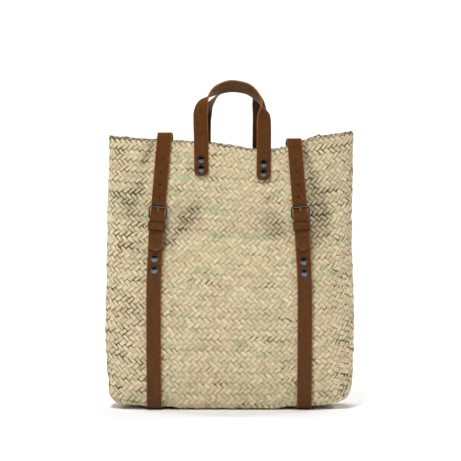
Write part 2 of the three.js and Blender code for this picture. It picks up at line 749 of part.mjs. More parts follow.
// Depth of one leg of a handle at a height, as a straight line that clears the basket's face.
function legLine(face, x) {
  const rim = rimHeight(x, face);
  const places = Array.from({ length: 9 }, (_, i) => i / 8);
  const depths = places.map((t) => stripDepth(face, x, mix(legFoot, rim, t), handleWidth));
  const straight = (t) => mix(depths[0], depths[8], t);
  const spare = Math.max(...places.map((t, i) => depths[i] - straight(t)));
  return (z) => {
    const lean = handleLean * clamp((z - rim) / (archHeight - rim), 0, 2);
    return straight(clamp((z - legFoot) / (rim - legFoot), 0, 1)) + spare + firstLayer - lean;
  };
}

// A station of a handle at a share of its length.
function handleStation(handle, along) {
  const read = (column) => readTable(handle.route, "along", column, along);
  const place = (at) => {
    const x = handleSpan * readTable(handle.route, "along", "across", at);
    const z = mix(legFoot, archHeight, readTable(handle.route, "along", "up", at));
    const depth = mix(handle.left(z), handle.right(z), smoothstep(at, 0.25, 0.75));
    return new THREE.Vector3(x, handle.face * depth, z);
  };
  const step = 0.004;
  const ahead = place(Math.min(along + step, 1)).sub(place(Math.max(along - step, 0))).normalize();
  const arch = new THREE.Vector3(-ahead.z, 0, ahead.x).normalize();
  const inward = new THREE.Vector3(0, -handle.face, 0);
  const roll = radians(read("roll"));
  const out = arch.multiplyScalar(Math.cos(roll)).addScaledVector(inward, Math.sin(roll));
  out.addScaledVector(ahead, -out.dot(ahead)).normalize();
  return { place: place(along), out };
}

function handleLength(handle) {
  let total = 0;
  for (let i = 0; i < handleStations; i++) {
    const [a, b] = [i, i + 1].map((k) => handleStation(handle, k / handleStations).place);
    total += a.distanceTo(b);
  }
  return total;
}

// Places of a handle's four rivets: two on the left leg, then two on the right.
function handleRivets(handle) {
  const shares = [handleRivetFromEnd, handleRivetFromEnd + handleRivetPitch].map((d) => d / handle.length);
  return [shares[1], shares[0], 1 - shares[1], 1 - shares[0]].map((along) => {
    const { place, out } = handleStation(handle, along);
    return { place: place.addScaledVector(out, leather / 2), out };
  });
}

function handleGeometry(handle) {
  const ends = legEnd.map((row) => ({ along: (row.back * handleWidth) / handle.length, width: row.width }));
  const last = ends.at(-1).along;
  const inner = Array.from({ length: handleStations - 1 }, (_, i) => (i + 1) / handleStations);
  const marks = [
    ...ends,
    ...inner.filter((along) => Math.min(along, 1 - along) > 1.2 * last).map((along) => ({ along, width: 1 })),
    ...[...ends].reverse().map(({ along, width }) => ({ along: 1 - along, width })),
  ];
  const stations = marks.map(({ along, width }) => ({ ...handleStation(handle, along), width }));
  return cut(bar(stripRings(stations, handleWidth)), handleRivets(handle).map(shankHole));
}

function basketGeometry(rivets) {
  const rings = [];
  for (let row = 0; row <= edgeRows; row++) rings.push(edgeRing((90 * row) / edgeRows, 0));
  for (let row = 1; row <= wallRows; row++) rings.push(wallRing(row / wallRows, 0));
  for (let row = wallRows; row >= 1; row--) rings.push(wallRing(row / wallRows, wall));
  for (let row = edgeRows - 1; row >= 0; row--) rings.push(edgeRing((90 * row) / (edgeRows - 1), wall));
  return cut(shell(rings), rivets.map(shankHole));
}

// How far a rivet's shank reaches inward from the leather's outer side to just inside the basket's wall.
function shankLength({ place, out }) {
  const face = place.y < 0 ? -1 : 1;
  const inside = faceDepth(face, place.x, place.z) - wall;
  return (Math.abs(place.y) - inside) / Math.abs(out.y) + 3 * clearance;
}

const root = new THREE.Group();

function add(name, geometry, material, matrix) {
  const mesh = new THREE.Mesh(geometry, material);
  mesh.name = name;
  if (matrix) mesh.applyMatrix4(matrix);
  root.add(mesh);
}

function addRivets(name, places) {
  places.forEach((rivet, i) => {
    const turn = new THREE.Quaternion().setFromUnitVectors(new THREE.Vector3(0, 1, 0), rivet.out);
    const matrix = new THREE.Matrix4().makeRotationFromQuaternion(turn).setPosition(rivet.place);
    add(`${name}_${i + 1}`, rivetGeometry(shankLength(rivet)), steel, matrix);
  });
}

for (const strap of straps) {
  strap.rivetHeight = farBarHeight - strap.rivetDrop * billetLength;
  strap.foldEnd = strap.rivetHeight - strapRivetPitch - foldPastRivet;
  strap.outline = beltOutline(strap);
}
for (const handle of handles) {
  const [first, last] = [handle.route[0], handle.route.at(-1)];
  handle.left = legLine(handle.face, first.across * handleSpan);
  handle.right = legLine(handle.face, last.across * handleSpan);
  handle.length = handleLength(handle);
}

add("basket", basketGeometry([...straps.flatMap(strapRivets), ...handles.flatMap(handleRivets)]), straw);
for (const strap of straps) {
  add(`strap_${strap.name}`, strapGeometry(strap), hide);
  add(`buckle_${strap.name}`, buckleGeometry(), steel, frontMatrix(strap, farBarHeight - buckleLength / 2));
  add(`tongue_${strap.name}`, tongueGeometry(tongueWire), steel, frontMatrix(strap, nearBarHeight));
  add(`keeper_${strap.name}`, keeperGeometry(), hide, frontMatrix(strap, keeperBottom));
  addRivets(`strap_rivet_${strap.name}`, strapRivets(strap));
}
for (const handle of handles) {
  add(`handle_${handle.name}`, handleGeometry(handle), hide);
  addRivets(`handle_rivet_${handle.name}`, handleRivets(handle));
}

export default root;
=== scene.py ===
"""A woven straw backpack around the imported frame: plaited leaves, leather straps and handles, steel."""

import math
from functools import partial

import bmesh
import bpy
import numpy as np
from bpy.props import FloatProperty, FloatVectorProperty, IntProperty, PointerProperty
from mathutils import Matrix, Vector
from mathutils.bvhtree import BVHTree


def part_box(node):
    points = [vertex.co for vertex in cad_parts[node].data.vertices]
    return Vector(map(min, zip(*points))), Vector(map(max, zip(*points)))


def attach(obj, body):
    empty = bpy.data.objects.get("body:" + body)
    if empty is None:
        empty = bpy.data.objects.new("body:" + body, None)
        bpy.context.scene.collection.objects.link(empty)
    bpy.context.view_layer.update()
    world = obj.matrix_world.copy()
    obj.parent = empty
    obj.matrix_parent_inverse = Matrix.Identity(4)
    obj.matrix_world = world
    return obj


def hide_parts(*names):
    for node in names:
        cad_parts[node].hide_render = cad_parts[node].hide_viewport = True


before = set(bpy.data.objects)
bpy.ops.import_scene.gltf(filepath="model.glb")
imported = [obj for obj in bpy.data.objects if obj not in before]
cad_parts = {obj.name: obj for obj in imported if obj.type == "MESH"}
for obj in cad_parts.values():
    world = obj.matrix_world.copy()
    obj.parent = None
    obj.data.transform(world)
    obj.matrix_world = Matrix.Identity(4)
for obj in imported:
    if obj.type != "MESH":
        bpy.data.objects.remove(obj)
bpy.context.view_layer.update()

bl_info = {
    "name": "Woven Straw Backpack",
    "version": (1, 0, 0),
    "blender": (4, 5, 0),
    "location": "View3D > Sidebar > Straw Bag",
    "description": "Plaits a straw bag and finishes its leather and steel",
    "category": "Add Mesh",
}

MM = 0.001
FLOAT_VECTOR = "FLOAT_VECTOR"
READ = "ShaderNodeAttribute"
MATH = "ShaderNodeMath"
VECTOR = "ShaderNodeVectorMath"
NOISE = "ShaderNodeTexNoise"
PARTS = "ShaderNodeSeparateXYZ"
RANGE = "ShaderNodeMapRange"
MIX = "ShaderNodeMix"
NAMED = "GeometryNodeInputNamedAttribute"
STORE = "GeometryNodeStoreNamedAttribute"
SMOOTH = {"interpolation_type": "SMOOTHSTEP"}
STRAPS = ("strap_left", "strap_right")
HANDLES = ("handle_front", "handle_back")
KEEPERS = ("keeper_left", "keeper_right")
WIRES = ("buckle_left", "buckle_right", "tongue_left", "tongue_right")
RIVETS = tuple(sorted(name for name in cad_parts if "rivet" in name))


def table(columns, *rows):
    """Rows of numbers, each with the names of its columns."""
    return [dict(zip(columns.split(), row)) for row in rows]


# The basket's outline at heights up its wall, as shares of half its width and depth.
SECTIONS = table(
    "level left right depth square",
    (0.0, 0.985, 0.985, 0.96, 5.0),
    (0.1, 0.997, 0.992, 1.0, 5.0),
    (0.25, 1.012, 1.0, 0.99, 4.6),
    (0.45, 1.004, 0.988, 0.94, 4.2),
    (0.65, 1.0, 0.984, 0.85, 3.8),
    (0.82, 0.994, 0.992, 0.73, 3.4),
    (1.0, 0.984, 1.004, 0.57, 3.0),
)

# Height of the rim across the bag, as shares of half its width and of its height.
RIM_LINE = table(
    "across front back",
    (-1.0, 0.983, 0.985),
    (-0.65, 0.97, 0.974),
    (-0.3, 0.963, 0.962),
    (0.0, 0.948, 0.946),
    (0.27, 0.932, 0.932),
    (0.42, 0.941, 0.942),
    (0.575, 0.963, 0.966),
    (0.67, 0.972, 0.985),
    (0.8, 0.982, 0.994),
    (1.0, 1.0, 1.0),
)

# Height of the base above the floor, in shares of the room that a strap needs under it.
BASE_LINE = table(
    "across rise",
    (-1.0, 2.2),
    (-0.75, 1.5),
    (-0.68, 1.0),
    (-0.5, 1.0),
    (-0.4, 0.0),
    (0.4, 0.0),
    (0.5, 1.0),
    (0.68, 1.0),
    (0.75, 1.2),
    (1.0, 2.2),
)

# Dents (inward) and bulges (outward), in shares of half the width, the height and the deepest dent.
DENTS = table(
    "face across up depth wide tall turn",
    (-1, -0.32, 0.7, 0.75, 0.07, 0.075, -38),
    (-1, -0.44, 0.785, -0.5, 0.1, 0.06, 0),
    (-1, -0.79, 0.72, 0.6, 0.1, 0.06, 10),
    (-1, -0.7, 0.84, 0.4, 0.08, 0.05, -20),
    (-1, 0.38, 0.65, 0.6, 0.08, 0.07, 35),
    (-1, 0.7, 0.68, 1.0, 0.08, 0.06, 0),
    (-1, 0.66, 0.8, 0.6, 0.06, 0.12, 6),
    (-1, 0.0, 0.63, 0.55, 0.3, 0.05, 0),
    (-1, -0.02, 0.38, -0.6, 0.38, 0.17, 0),
    (1, -0.3, 0.62, 0.6, 0.14, 0.08, 30),
    (1, 0.35, 0.7, 0.7, 0.12, 0.08, -25),
    (1, 0.05, 0.35, -0.5, 0.4, 0.16, 0),
)

# Sharp creases in the front, drawn only as painted shade: straight lines between two points, in shares of
# half the width and the height.
CREASES = table(
    "across up to_across to_up",
    (0.72, 0.66, 0.655, 0.8),
    (0.655, 0.8, 0.633, 0.88),
    (0.633, 0.88, 0.59, 0.95),
    (-0.466, 0.6, -0.307, 0.712),
    (-0.7, 0.885, -0.63, 0.95),
)

# Routes of the handles from the left leg's end to the right's: across in shares of the span, up in shares of
# the way from the legs' ends to the middle of the arch, and roll in degrees, where -90 shows the grain side
# to the front or back, and 0 lies flat round the arch.
FRONT_ROUTE = table(
    "along across up roll",
    (0.0, -0.46, 0.045, -90),
    (0.152, -0.466, 0.4, -90),
    (0.271, -0.478, 0.68, -88),
    (0.327, -0.44, 0.81, -50),
    (0.373, -0.345, 0.895, 0),
    (0.426, -0.19, 0.965, 34),
    (0.487, 0.02, 1.0, 48),
    (0.547, 0.23, 0.98, 42),
    (0.605, 0.4, 0.905, 26),
    (0.658, 0.5, 0.8, 0),
    (0.714, 0.532, 0.67, -65),
    (0.774, 0.532, 0.53, -90),
    (1.0, 0.522, 0.0, -90),
)
BACK_ROUTE = table(
    "along across up roll",
    (0.0, -0.43, 0.02, -90),
    (0.15, -0.435, 0.37, -90),
    (0.274, -0.43, 0.66, -82),
    (0.336, -0.36, 0.8, -30),
    (0.376, -0.281, 0.876, -8),
    (0.416, -0.182, 0.945, 8),
    (0.504, 0.094, 1.04, 34),
    (0.547, 0.24, 1.025, 28),
    (0.587, 0.355, 0.972, 5),
    (0.64, 0.448, 0.862, -50),
    (0.7, 0.475, 0.717, -86),
    (0.767, 0.473, 0.565, -90),
    (1.0, 0.465, 0.02, -90),
)

# How a handle's rounded end narrows: distance from the end and width, in shares of the handle's width.
LEG_END = table(
    "back width",
    (0.0, 0.36),
    (0.06, 0.68),
    (0.17, 0.9),
    (0.35, 1.0),
)

# The domed cap of a rivet, from its rim to its middle, in shares of its radius and height.
CAP_PROFILE = table(
    "out up",
    (0.9, 0.0),
    (1.0, 0.12),
    (1.0, 0.3),
    (0.94, 0.44),
    (0.84, 0.48),
    (0.78, 0.42),
    (0.7, 0.5),
    (0.52, 0.8),
    (0.28, 0.96),
    (0.0, 1.0),
)


def linear(hex_colour):
    """The linear colour, with alpha, of an sRGB hex value such as "#cfc09b"."""
    shares = [int(hex_colour[i : i + 2], 16) / 255 for i in (1, 3, 5)]
    return tuple(s / 12.92 if s <= 0.04045 else ((s + 0.055) / 1.055) ** 2.4 for s in shares) + (1.0,)


def length_property(name, description, default):
    kind = {"subtype": "DISTANCE", "unit": "LENGTH"}
    return FloatProperty(name=name, description=description, default=default, **kind)


def colour_property(name, description, hex_colour):
    return FloatVectorProperty(
        name=name, description=description, default=linear(hex_colour), size=4, subtype="COLOR", min=0, max=1
    )


def share_property(name, description, default, top=1.0):
    limits = {"subtype": "FACTOR", "min": 0, "max": top}
    return FloatProperty(name=name, description=description, default=default, **limits)


class StrawBagWeave(bpy.types.PropertyGroup):
    """Sizes and colours of the plaited wall."""

    depth: length_property("Depth", "Front to back, just above the base", 100 * MM)
    wall: length_property("Wall", "Thickness of the plaited wall", 3 * MM)
    edge_radius: length_property("Edge radius", "Bottom edge along the front and back", 14 * MM)
    left_corner: length_property("Left corner", "Radius of the bottom corner on the left", 20 * MM)
    right_corner: length_property("Right corner", "Radius of the bottom corner on the right", 34 * MM)
    strap_room: length_property("Strap room", "Height that a strap needs under the base", 3.1 * MM)
    dent_depth: length_property("Dent depth", "The deepest dent", 9 * MM)
    leaf_pitch: length_property("Leaf pitch", "From one leaf to the next along a row", 9.2 * MM)
    row_height: length_property("Row height", "One row of slanted leaves", 8.3 * MM)
    leaf_thickness: length_property("Leaf thickness", "A folded leaf, at its middle", 0.75 * MM)
    relief: length_property("Relief", "How far a leaf rises over its neighbours", 0.75 * MM)
    steepness: share_property("Steepness", "How quickly a leaf goes from over to under", 1.42, 3.0)
    wander: length_property("Wander", "How far a leaf strays sideways", 0.9 * MM)
    lumps: length_property("Lumps", "How uneven the wall is", 5 * MM)
    lump_size: length_property("Lump size", "Of that unevenness", 20 * MM)
    fold: length_property("Rim fold", "How far the leaves turn down inside the rim", 12 * MM)
    rim_stray: length_property("Rim stray", "How far a leaf stands over or under the rim", 1.6 * MM)
    # Painted shade: how far the shade painted along a crease line reaches.
    crease_shade_width: length_property("Crease width", "How far from a crease the leaves part", 5 * MM)
    # Painted shadow: how far the shadow painted on the wall beside a strap's right edge reaches.
    strap_shadow_reach: length_property("Strap press", "How far beside a strap the leaves part", 7 * MM)
    fill: share_property("Fill", "Leaf width as a share of the room between its neighbours", 1.0, 1.5)
    roll: share_property("Roll", "How much a leaf leans on its edge", 0.6)
    uneven: share_property("Uneven", "How much the leaves differ in width", 0.3)
    seed: IntProperty(name="Seed", description="Of everything random in the weave", default=7)
    straw: colour_property("Straw", "Dry leaf", "#d9c9a4")
    green: colour_property("Green straw", "Leaf dried in the shade", "#bebf95")
    pink: colour_property("Ruddy straw", "Leaf dried in the sun", "#cbb08b")
    line: colour_property("Leaf edge", "Where one leaf shades the next", "#6f5733")
    gap: colour_property("Gap", "Dust and shade between the leaves", "#3d2f18")


class StrawBagLeather(bpy.types.PropertyGroup):
    """Sizes and colours of the straps, handles and keepers."""

    thickness: length_property("Thickness", "Of the hide", 2.8 * MM)
    clearance: length_property("Clearance", "Between the hide and the basket", 0.3 * MM)
    handle_width: length_property("Handle width", "Of the strip", 22 * MM)
    handle_span: length_property("Handle span", "Between the legs' centre lines", 96 * MM)
    handle_hang: length_property("Handle hang", "The legs' ends below the highest corner of the rim", 76 * MM)
    handle_rise: length_property("Handle rise", "The middle of the arch above that corner", 69 * MM)
    handle_lean: length_property("Handle lean", "How far the arch leans in over the mouth", 12 * MM)
    handle_rings: IntProperty(name="Handle rings", description="Cross-sections of a handle", default=150)
    corner: length_property("Corner", "Radius of a handle's worn edges", 0.8 * MM)
    strap_border: length_property("Strap border", "How far a belt's pale cut edges reach in", 0.75 * MM)
    hole_side: length_property("Hole side", "A belt's cut sides shorter than this are its holes'", 2 * MM)
    # Painted shade: the border that takes a keeper's near black edge colour.
    keeper_shade_border: length_property("Keeper border", "How far a keeper's burnished edges reach in", 1.2 * MM)
    merge: length_property("Merge", "Points this close are one", 0.02 * MM)
    grain: colour_property("Grain side", "Oiled dark brown cowhide", "#573416")
    flesh: colour_property("Flesh side", "Suede back of the hide", "#573c22")
    # Painted shade: the back handle's flesh side is given this darker copy of the flesh colour, for the shade
    # it lies in.
    back_flesh_shade: colour_property("Dark flesh side", "Suede back of the back handle", "#3b2111")
    raw: colour_property("Raw edge", "Cut edge of a handle", "#9a5a2c")
    pale: colour_property("Pale edge", "Cut edge of a belt", "#9d5c2e")
    # Painted shade: a keeper's cut edges are given this near black, for the shade at its edges.
    keeper_edge_shade: colour_property("Burnished edge", "Cut edge of a keeper", "#1e0f06")


class StrawBagMetal(bpy.types.PropertyGroup):
    """Sizes and colours of the buckles and rivets."""

    cap_height: length_property("Cap height", "Of a rivet's domed cap", 2.6 * MM)
    cap_diameter: length_property("Cap diameter", "Of a rivet's domed cap", 12 * MM)
    back_height: length_property("Back cap height", "Of the cap inside the bag", 1.2 * MM)
    back_diameter: length_property("Back cap diameter", "Of the cap inside the bag", 9 * MM)
    swell: length_property("Swell", "Makes up for what smoothing takes off a wire", 0.16 * MM)
    steel: colour_property("Steel", "Dull nickel plate", "#7b7980")
    rivet: colour_property("Rivet", "Gunmetal plate", "#77757a")


class StrawBagStage(bpy.types.PropertyGroup):
    """Camera, floor and light."""

    eye_height: length_property("Eye height", "Of the camera above the floor", 271 * MM)
    distance: length_property("Distance", "From the camera to the bag's middle", 2.0)
    focal_pixels: FloatProperty(name="Focal length", description="In pixels of the picture", default=1295)
    picture_pixels: IntProperty(name="Picture width", description="In pixels", default=461)
    floor: colour_property("Floor", "Matt white sweep", "#ececec")


# Numbers and tables


def read_table(rows, key, column, at):
    """One column of a table at any places, on a smooth curve that doesn't overshoot."""
    x = np.array([row[key] for row in rows])
    y = np.array([row[column] for row in rows], float)
    rise = np.diff(y) / np.diff(x)
    product = rise[:-1] * rise[1:]
    total = np.where(product > 0, rise[:-1] + rise[1:], 1)
    inner = np.where(product > 0, 2 * product / total, 0)
    slope = np.concatenate([rise[:1], inner, rise[-1:]])
    inside = np.clip(at, x[0], x[-1])
    i = np.clip(np.searchsorted(x, inside, side="right") - 1, 0, len(x) - 2)
    step = x[i + 1] - x[i]
    t = (inside - x[i]) / step
    straight = y[i] + (y[i + 1] - y[i]) * t * t * (3 - 2 * t)
    return straight + step * t * (1 - t) * (slope[i] * (1 - t) - slope[i + 1] * t)


def mix(a, b, share):
    return a + (b - a) * share


def smoothstep(value, low, high):
    share = np.clip((value - low) / (high - low), 0, 1)
    return share * share * (3 - 2 * share)


def unit(vectors):
    lengths = np.linalg.norm(vectors, axis=-1, keepdims=True)
    return vectors / np.maximum(lengths, 1e-12)


# The basket's wall as rows of points


class Basket:
    """The basket's form, worked out from its node's box and the tables above."""

    def __init__(self, weave):
        low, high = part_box("basket")
        widest = max(row["left"] for row in SECTIONS)
        self.weave = weave
        self.half_width = -low.x / widest
        self.half_depth = weave.depth / 2
        self.height = high.z

    def share_across(self, x):
        return np.clip(x / self.half_width, -1, 1)

    def base(self, x):
        return self.weave.strap_room * read_table(BASE_LINE, "across", "rise", self.share_across(x))

    def rim(self, x, side):
        front = read_table(RIM_LINE, "across", "front", self.share_across(x))
        back = read_table(RIM_LINE, "across", "back", self.share_across(x))
        return self.height * mix(front, back, (side + 1) / 2)

    def edge_radius(self, x):
        corner = np.where(x < 0, self.weave.left_corner, self.weave.right_corner)
        start, end = 0.8, 0.99  # of the corners, as shares of half the width
        return mix(self.weave.edge_radius, corner, smoothstep(np.abs(x) / self.half_width, start, end))

    def dent(self, face, x, z):
        total = np.zeros_like(x)
        for row in DENTS:
            across = x - row["across"] * self.half_width
            up = z - row["up"] * self.height
            turn = math.radians(row["turn"])
            a = (across * math.cos(turn) + up * math.sin(turn)) / (row["wide"] * self.half_width)
            b = (up * math.cos(turn) - across * math.sin(turn)) / (row["tall"] * self.height)
            push = self.weave.dent_depth * row["depth"] * np.exp(-(a * a + b * b) / 2)
            total += np.where(face == row["face"], push, 0)
        return total

    def crease(self, face, x, z):
        """How much shade is painted at a point of the front for its nearness to a crease line: 1 on it, and 0
        well away.
        """
        nearest = np.full_like(x, 1.0)
        for row in CREASES:
            start = np.array([row["across"] * self.half_width, row["up"] * self.height])
            way = np.array([row["to_across"] * self.half_width, row["to_up"] * self.height]) - start
            offset = np.stack([x, z], axis=1) - start
            share = np.clip(offset @ way / (way @ way), 0, 1)
            nearest = np.minimum(nearest, np.linalg.norm(offset - share[:, None] * way, axis=1))
        return np.where(face < 0, np.exp(-((nearest / self.weave.crease_shade_width) ** 2)), 0)

    def outline(self, level, inset, count):
        """Points round the outline at equal steps, from the left end along the front, and its half depth."""
        read = {name: float(read_table(SECTIONS, "level", name, level)) for name in SECTIONS[0]}
        left = self.half_width * read["left"] - inset
        right = self.half_width * read["right"] - inset
        depth = self.half_depth * read["depth"] - inset
        angle = np.linspace(0, 2 * math.pi, 8 * count + 1)
        c, s = np.cos(angle), np.sin(angle)
        x = -np.where(c > 0, left, right) * np.sign(c) * np.abs(c) ** (2 / read["square"])
        y = -depth * np.sign(s) * np.abs(s) ** (2 / read["square"])
        path = np.concatenate([[0], np.cumsum(np.hypot(np.diff(x), np.diff(y)))])
        want = path[-1] * np.arange(count) / count
        return np.interp(want, path, x), np.interp(want, path, y), depth, left, right

    def wall_row(self, level, inset, count):
        x, y, depth, _, _ = self.outline(level, inset, count)
        side = np.clip(y / depth, -1, 1)
        z = mix(self.base(x) + self.edge_radius(x), self.rim(x, side), level)
        face = np.where(side < 0, -1, 1)
        none, whole = 0.2, 0.9  # dents fade out round the bag's sides
        pushed = y - face * smoothstep(np.abs(side), none, whole) * self.dent(face, x, z)
        return np.stack([x, pushed, z], axis=1)

    def edge_row(self, turn, inset, count):
        """A row of the rounded bottom edge: turn 0 is its lower end, and 90 its upper end."""
        x, y, depth, left, right = self.outline(0, inset, count)
        away, rise = 1 - math.sin(math.radians(turn)), 1 - math.cos(math.radians(turn))
        corner = np.where(x < 0, self.weave.left_corner, self.weave.right_corner)
        reach = np.where(x < 0, left, right)
        z = self.base(x) + inset + (self.edge_radius(x) - inset) * rise
        drawn = x * (1 - (corner - inset) * away / reach)
        return np.stack([drawn, y * (1 - (self.weave.edge_radius - inset) * away / depth), z], axis=1)

    def rows(self, count):
        """The wall's middle, row by row: from the middle of the base up to the rim and down inside it."""
        half_row = self.weave.row_height / 2
        middle = self.weave.wall / 2
        low_ring = self.edge_row(0, middle, count)
        reach = np.abs(low_ring[:, 1]).max()
        rows = []
        base_steps = 2 * round(reach / half_row)
        for i in range(base_steps):
            share = i / base_steps
            drawn = 1 - (1 - share) * reach / np.abs(low_ring[:, 0]).max()
            x = low_ring[:, 0] * drawn
            rows.append(np.stack([x, low_ring[:, 1] * share, self.base(x) + middle], axis=1))
        edge_steps = 2 * round(math.pi / 2 * self.weave.edge_radius / half_row)
        for i in range(edge_steps):
            rows.append(self.edge_row(90 * i / edge_steps, middle, count))
        mean_wall = self.height * np.mean([row["front"] for row in RIM_LINE]) - self.weave.edge_radius
        wall_steps = 2 * round(mean_wall / half_row)
        for i in range(wall_steps + 1):
            rows.append(self.wall_row(i / wall_steps, middle, count))
        return np.array(rows + self.rim_rows(count))

    def rim_rows(self, count):
        """Where the leaves turn over the rim, in a half circle, and down inside it."""
        half_row = self.weave.row_height / 2
        radius = self.weave.wall / 2
        outer = self.wall_row(1, radius, count)
        inner = self.wall_row(1, 3 * radius, count)
        rows = []
        for turn in (45, 90, 135):
            share = (1 - math.cos(math.radians(turn))) / 2
            row = mix(outer, inner, share)
            row[:, 2] += radius * (math.sin(math.radians(turn)) - 1)
            rows.append(row)
        outer[:, 2] -= radius
        steps = 2 * round(self.weave.fold / half_row)
        for i in range(steps):
            level = 1 - (i * half_row / 2 + radius) / self.height
            rows.append(self.wall_row(level, 3 * radius, count))
        return rows

    def face_depth(self, face, x, z):
        """Half the basket's depth at a place on a face, with its dents."""
        foot = self.base(x) + self.edge_radius(x)
        level = np.maximum((z - foot) / (self.rim(x, face) - foot), 0)
        read = {name: read_table(SECTIONS, "level", name, level) for name in SECTIONS[0]}
        reach = self.half_width * np.where(x < 0, read["left"], read["right"])
        share = np.minimum(np.abs(x) / reach, 1)
        depth = self.half_depth * read["depth"] * (1 - share ** read["square"]) ** (1 / read["square"])
        return depth - self.dent(np.sign(face), x, z)

    def strip_depth(self, face, x, z, width):
        """The depth at which a flat strip of leather clears a face at a height."""
        across = x + width * np.linspace(-0.5, 0.5, 5)
        return self.face_depth(face, across, np.full(5, z)).max()


def strap_edges():
    """For each belt, heights on the front and the place of its right edge at each."""
    reach = 6 * MM  # further than from one point of an edge to the next
    edges = []
    for node in STRAPS:
        points = np.array([point.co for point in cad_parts[node].data.vertices])
        front = points[points[:, 1] < 0]
        heights = np.unique(np.round(front[:, 2], 3))
        right = [front[np.abs(front[:, 2] - height) < reach, 0].max() for height in heights]
        edges.append((heights, right))
    return edges


def leaf_lines(basket, leaves):
    """Two sets of polylines on the wall, leaning either way, with what the weave needs at each point."""
    weave = basket.weave
    columns = 4 * leaves
    rows = basket.rows(columns)
    rim = len(rows) - len(basket.rim_rows(columns)) - 1
    drops = np.array([0, 0.25, 0.6, 1.0])[:, None]  # make room under the rim for its half circle
    rows[rim - 3 : rim + 1, :, 2] -= drops * weave.wall / 2
    stray = np.random.default_rng(weave.seed).uniform(-1, 1, columns)
    rows[rim - 1 : rim + 2, :, 2] += stray * weave.rim_stray
    along_row = np.roll(rows, -1, axis=1) - np.roll(rows, 1, axis=1)
    outward = unit(np.cross(along_row, np.gradient(rows, axis=0)))
    outward[0] = outward[1]
    index = np.arange(len(rows))
    edges = strap_edges()
    at_rim, at_strap = 0.7, 0.75  # painted shade under the rim's fold and painted shadow beside a strap, as shares of the darkest crease shade
    for lean in (-1, 1):
        lines = []
        for leaf in range(leaves):
            column = (4 * leaf + lean * index) % columns
            places = rows[index, column]
            heading = unit(np.gradient(places, axis=0))
            room = 2 * np.linalg.norm(np.cross(along_row[index, column], heading), axis=1)
            x, y, z = places.T
            face = np.where(y < 0, -1, 1)
            # crease holds how much shade is painted on the straw: in dents, along the crease lines, under the
            # rim's fold and beside the straps.
            crease = np.maximum(basket.dent(face, x, z) / weave.dent_depth, basket.crease(face, x, z))
            crease = np.maximum(crease, at_rim * smoothstep(index, rim - 4, rim))
            # Painted shadow that each strap casts on the front, fading out to the right of its right edge.
            for heights, right in edges:
                away = x - np.interp(z, heights, right)
                beside = (face < 0) & (away > -weave.strap_shadow_reach)
                strap_shadow = 1 - smoothstep(away, 0, weave.strap_shadow_reach)
                crease = np.maximum(crease, at_strap * beside * strap_shadow)
            lines.append(dict(places=places, outward=outward[index, column], room=room, crease=crease))
        yield lean, lines


def polyline_mesh(name, weave, lines, first, lean):
    """The polylines as a mesh of edges. Its attributes also say how far each point is over or under the rest,
    a number for each stretch of leaf that shows, and where the leaf reads how it strays."""
    places = np.concatenate([line["places"] for line in lines])
    count = len(lines[0]["places"])
    edges = [(i, i + 1) for i in range(len(places)) if (i + 1) % count]
    mesh = bpy.data.meshes.new(name)
    mesh.from_pydata(places.tolist(), edges, [])
    row = np.tile(np.arange(count) / 2, len(lines))
    leaf = np.repeat(np.arange(len(lines)) + first, count)
    wave = weave.steepness * np.cos((row - 0.5) * math.pi / 2)
    values = {key: np.concatenate([line[key] for line in lines]) for key in ("outward", "room", "crease")}
    values["leaf_over"] = lean * np.clip(wave, -1, 1)
    values["identity"] = 1000 * leaf + np.floor((row + 0.5) / 2)
    row_step, leaf_step, seed_step = 0.41, 5.37, 31.7  # a leaf strays slowly, and unlike its neighbours
    shift = leaf_step * leaf + seed_step * weave.seed
    values["stray_place"] = np.stack([row_step * row, shift, 0 * row], axis=1)
    for key, data in values.items():
        kind, field = (FLOAT_VECTOR, "vector") if data.ndim == 2 else ("FLOAT", "value")
        mesh.attributes.new(key, kind, "POINT").data.foreach_set(field, np.ravel(data).astype(np.float32))
    return mesh


# Building trees of nodes


def add_node(tree, kind, links=(), **settings):
    """Adds a node with its settings. links gives its inputs values, nodes or outputs: the first inputs as a
    list, or any of them by name or number."""
    made = tree.nodes.new(kind)
    for key, value in settings.items():
        setattr(made, key, value)
    given = links if isinstance(links, dict) else dict(enumerate(links))
    for key, value in given.items():
        if isinstance(value, bpy.types.Node):
            value = next(output for output in value.outputs if output.enabled)
        if isinstance(value, bpy.types.NodeSocket):
            tree.links.new(value, made.inputs[key])
        else:
            made.inputs[key].default_value = value
    return made


def new_tree(name, inputs):
    """A geometry tree with named inputs, and what its group input gives."""
    tree = bpy.data.node_groups.new(name, "GeometryNodeTree")
    for key, kind in {"Geometry": "Geometry", **inputs, "Material": "Material"}.items():
        tree.interface.new_socket(key, in_out="INPUT", socket_type=f"NodeSocket{kind}")
    tree.interface.new_socket("Geometry", in_out="OUTPUT", socket_type="NodeSocketGeometry")
    return tree, tree.nodes.new("NodeGroupInput").outputs


def finish_tree(tree, geometry, material, smooth=True):
    real = add_node(tree, "GeometryNodeRealizeInstances", [geometry])
    shaded = add_node(tree, "GeometryNodeSetShadeSmooth", {0: real, "Shade Smooth": smooth})
    finish = add_node(tree, "GeometryNodeSetMaterial", {"Geometry": shaded, "Material": material})
    add_node(tree, "NodeGroupOutput", [finish])


def grow(name, mesh, tree, values):
    """Runs a geometry tree on a mesh and returns the result as a plain object."""
    seed = add_object(name, mesh)
    modifier = seed.modifiers.new(tree.name, "NODES")
    modifier.node_group = tree
    for item in tree.interface.items_tree:
        if item.in_out == "INPUT" and item.name in values:
            modifier[item.identifier] = values[item.name]
    return applied(seed)


def add_object(name, data):
    thing = bpy.data.objects.new(name, data)
    bpy.context.scene.collection.objects.link(thing)
    return thing


def mesh_from(body, name):
    """Turns a bmesh into a mesh of its own."""
    mesh = bpy.data.meshes.new(name)
    body.to_mesh(mesh)
    body.free()
    return mesh


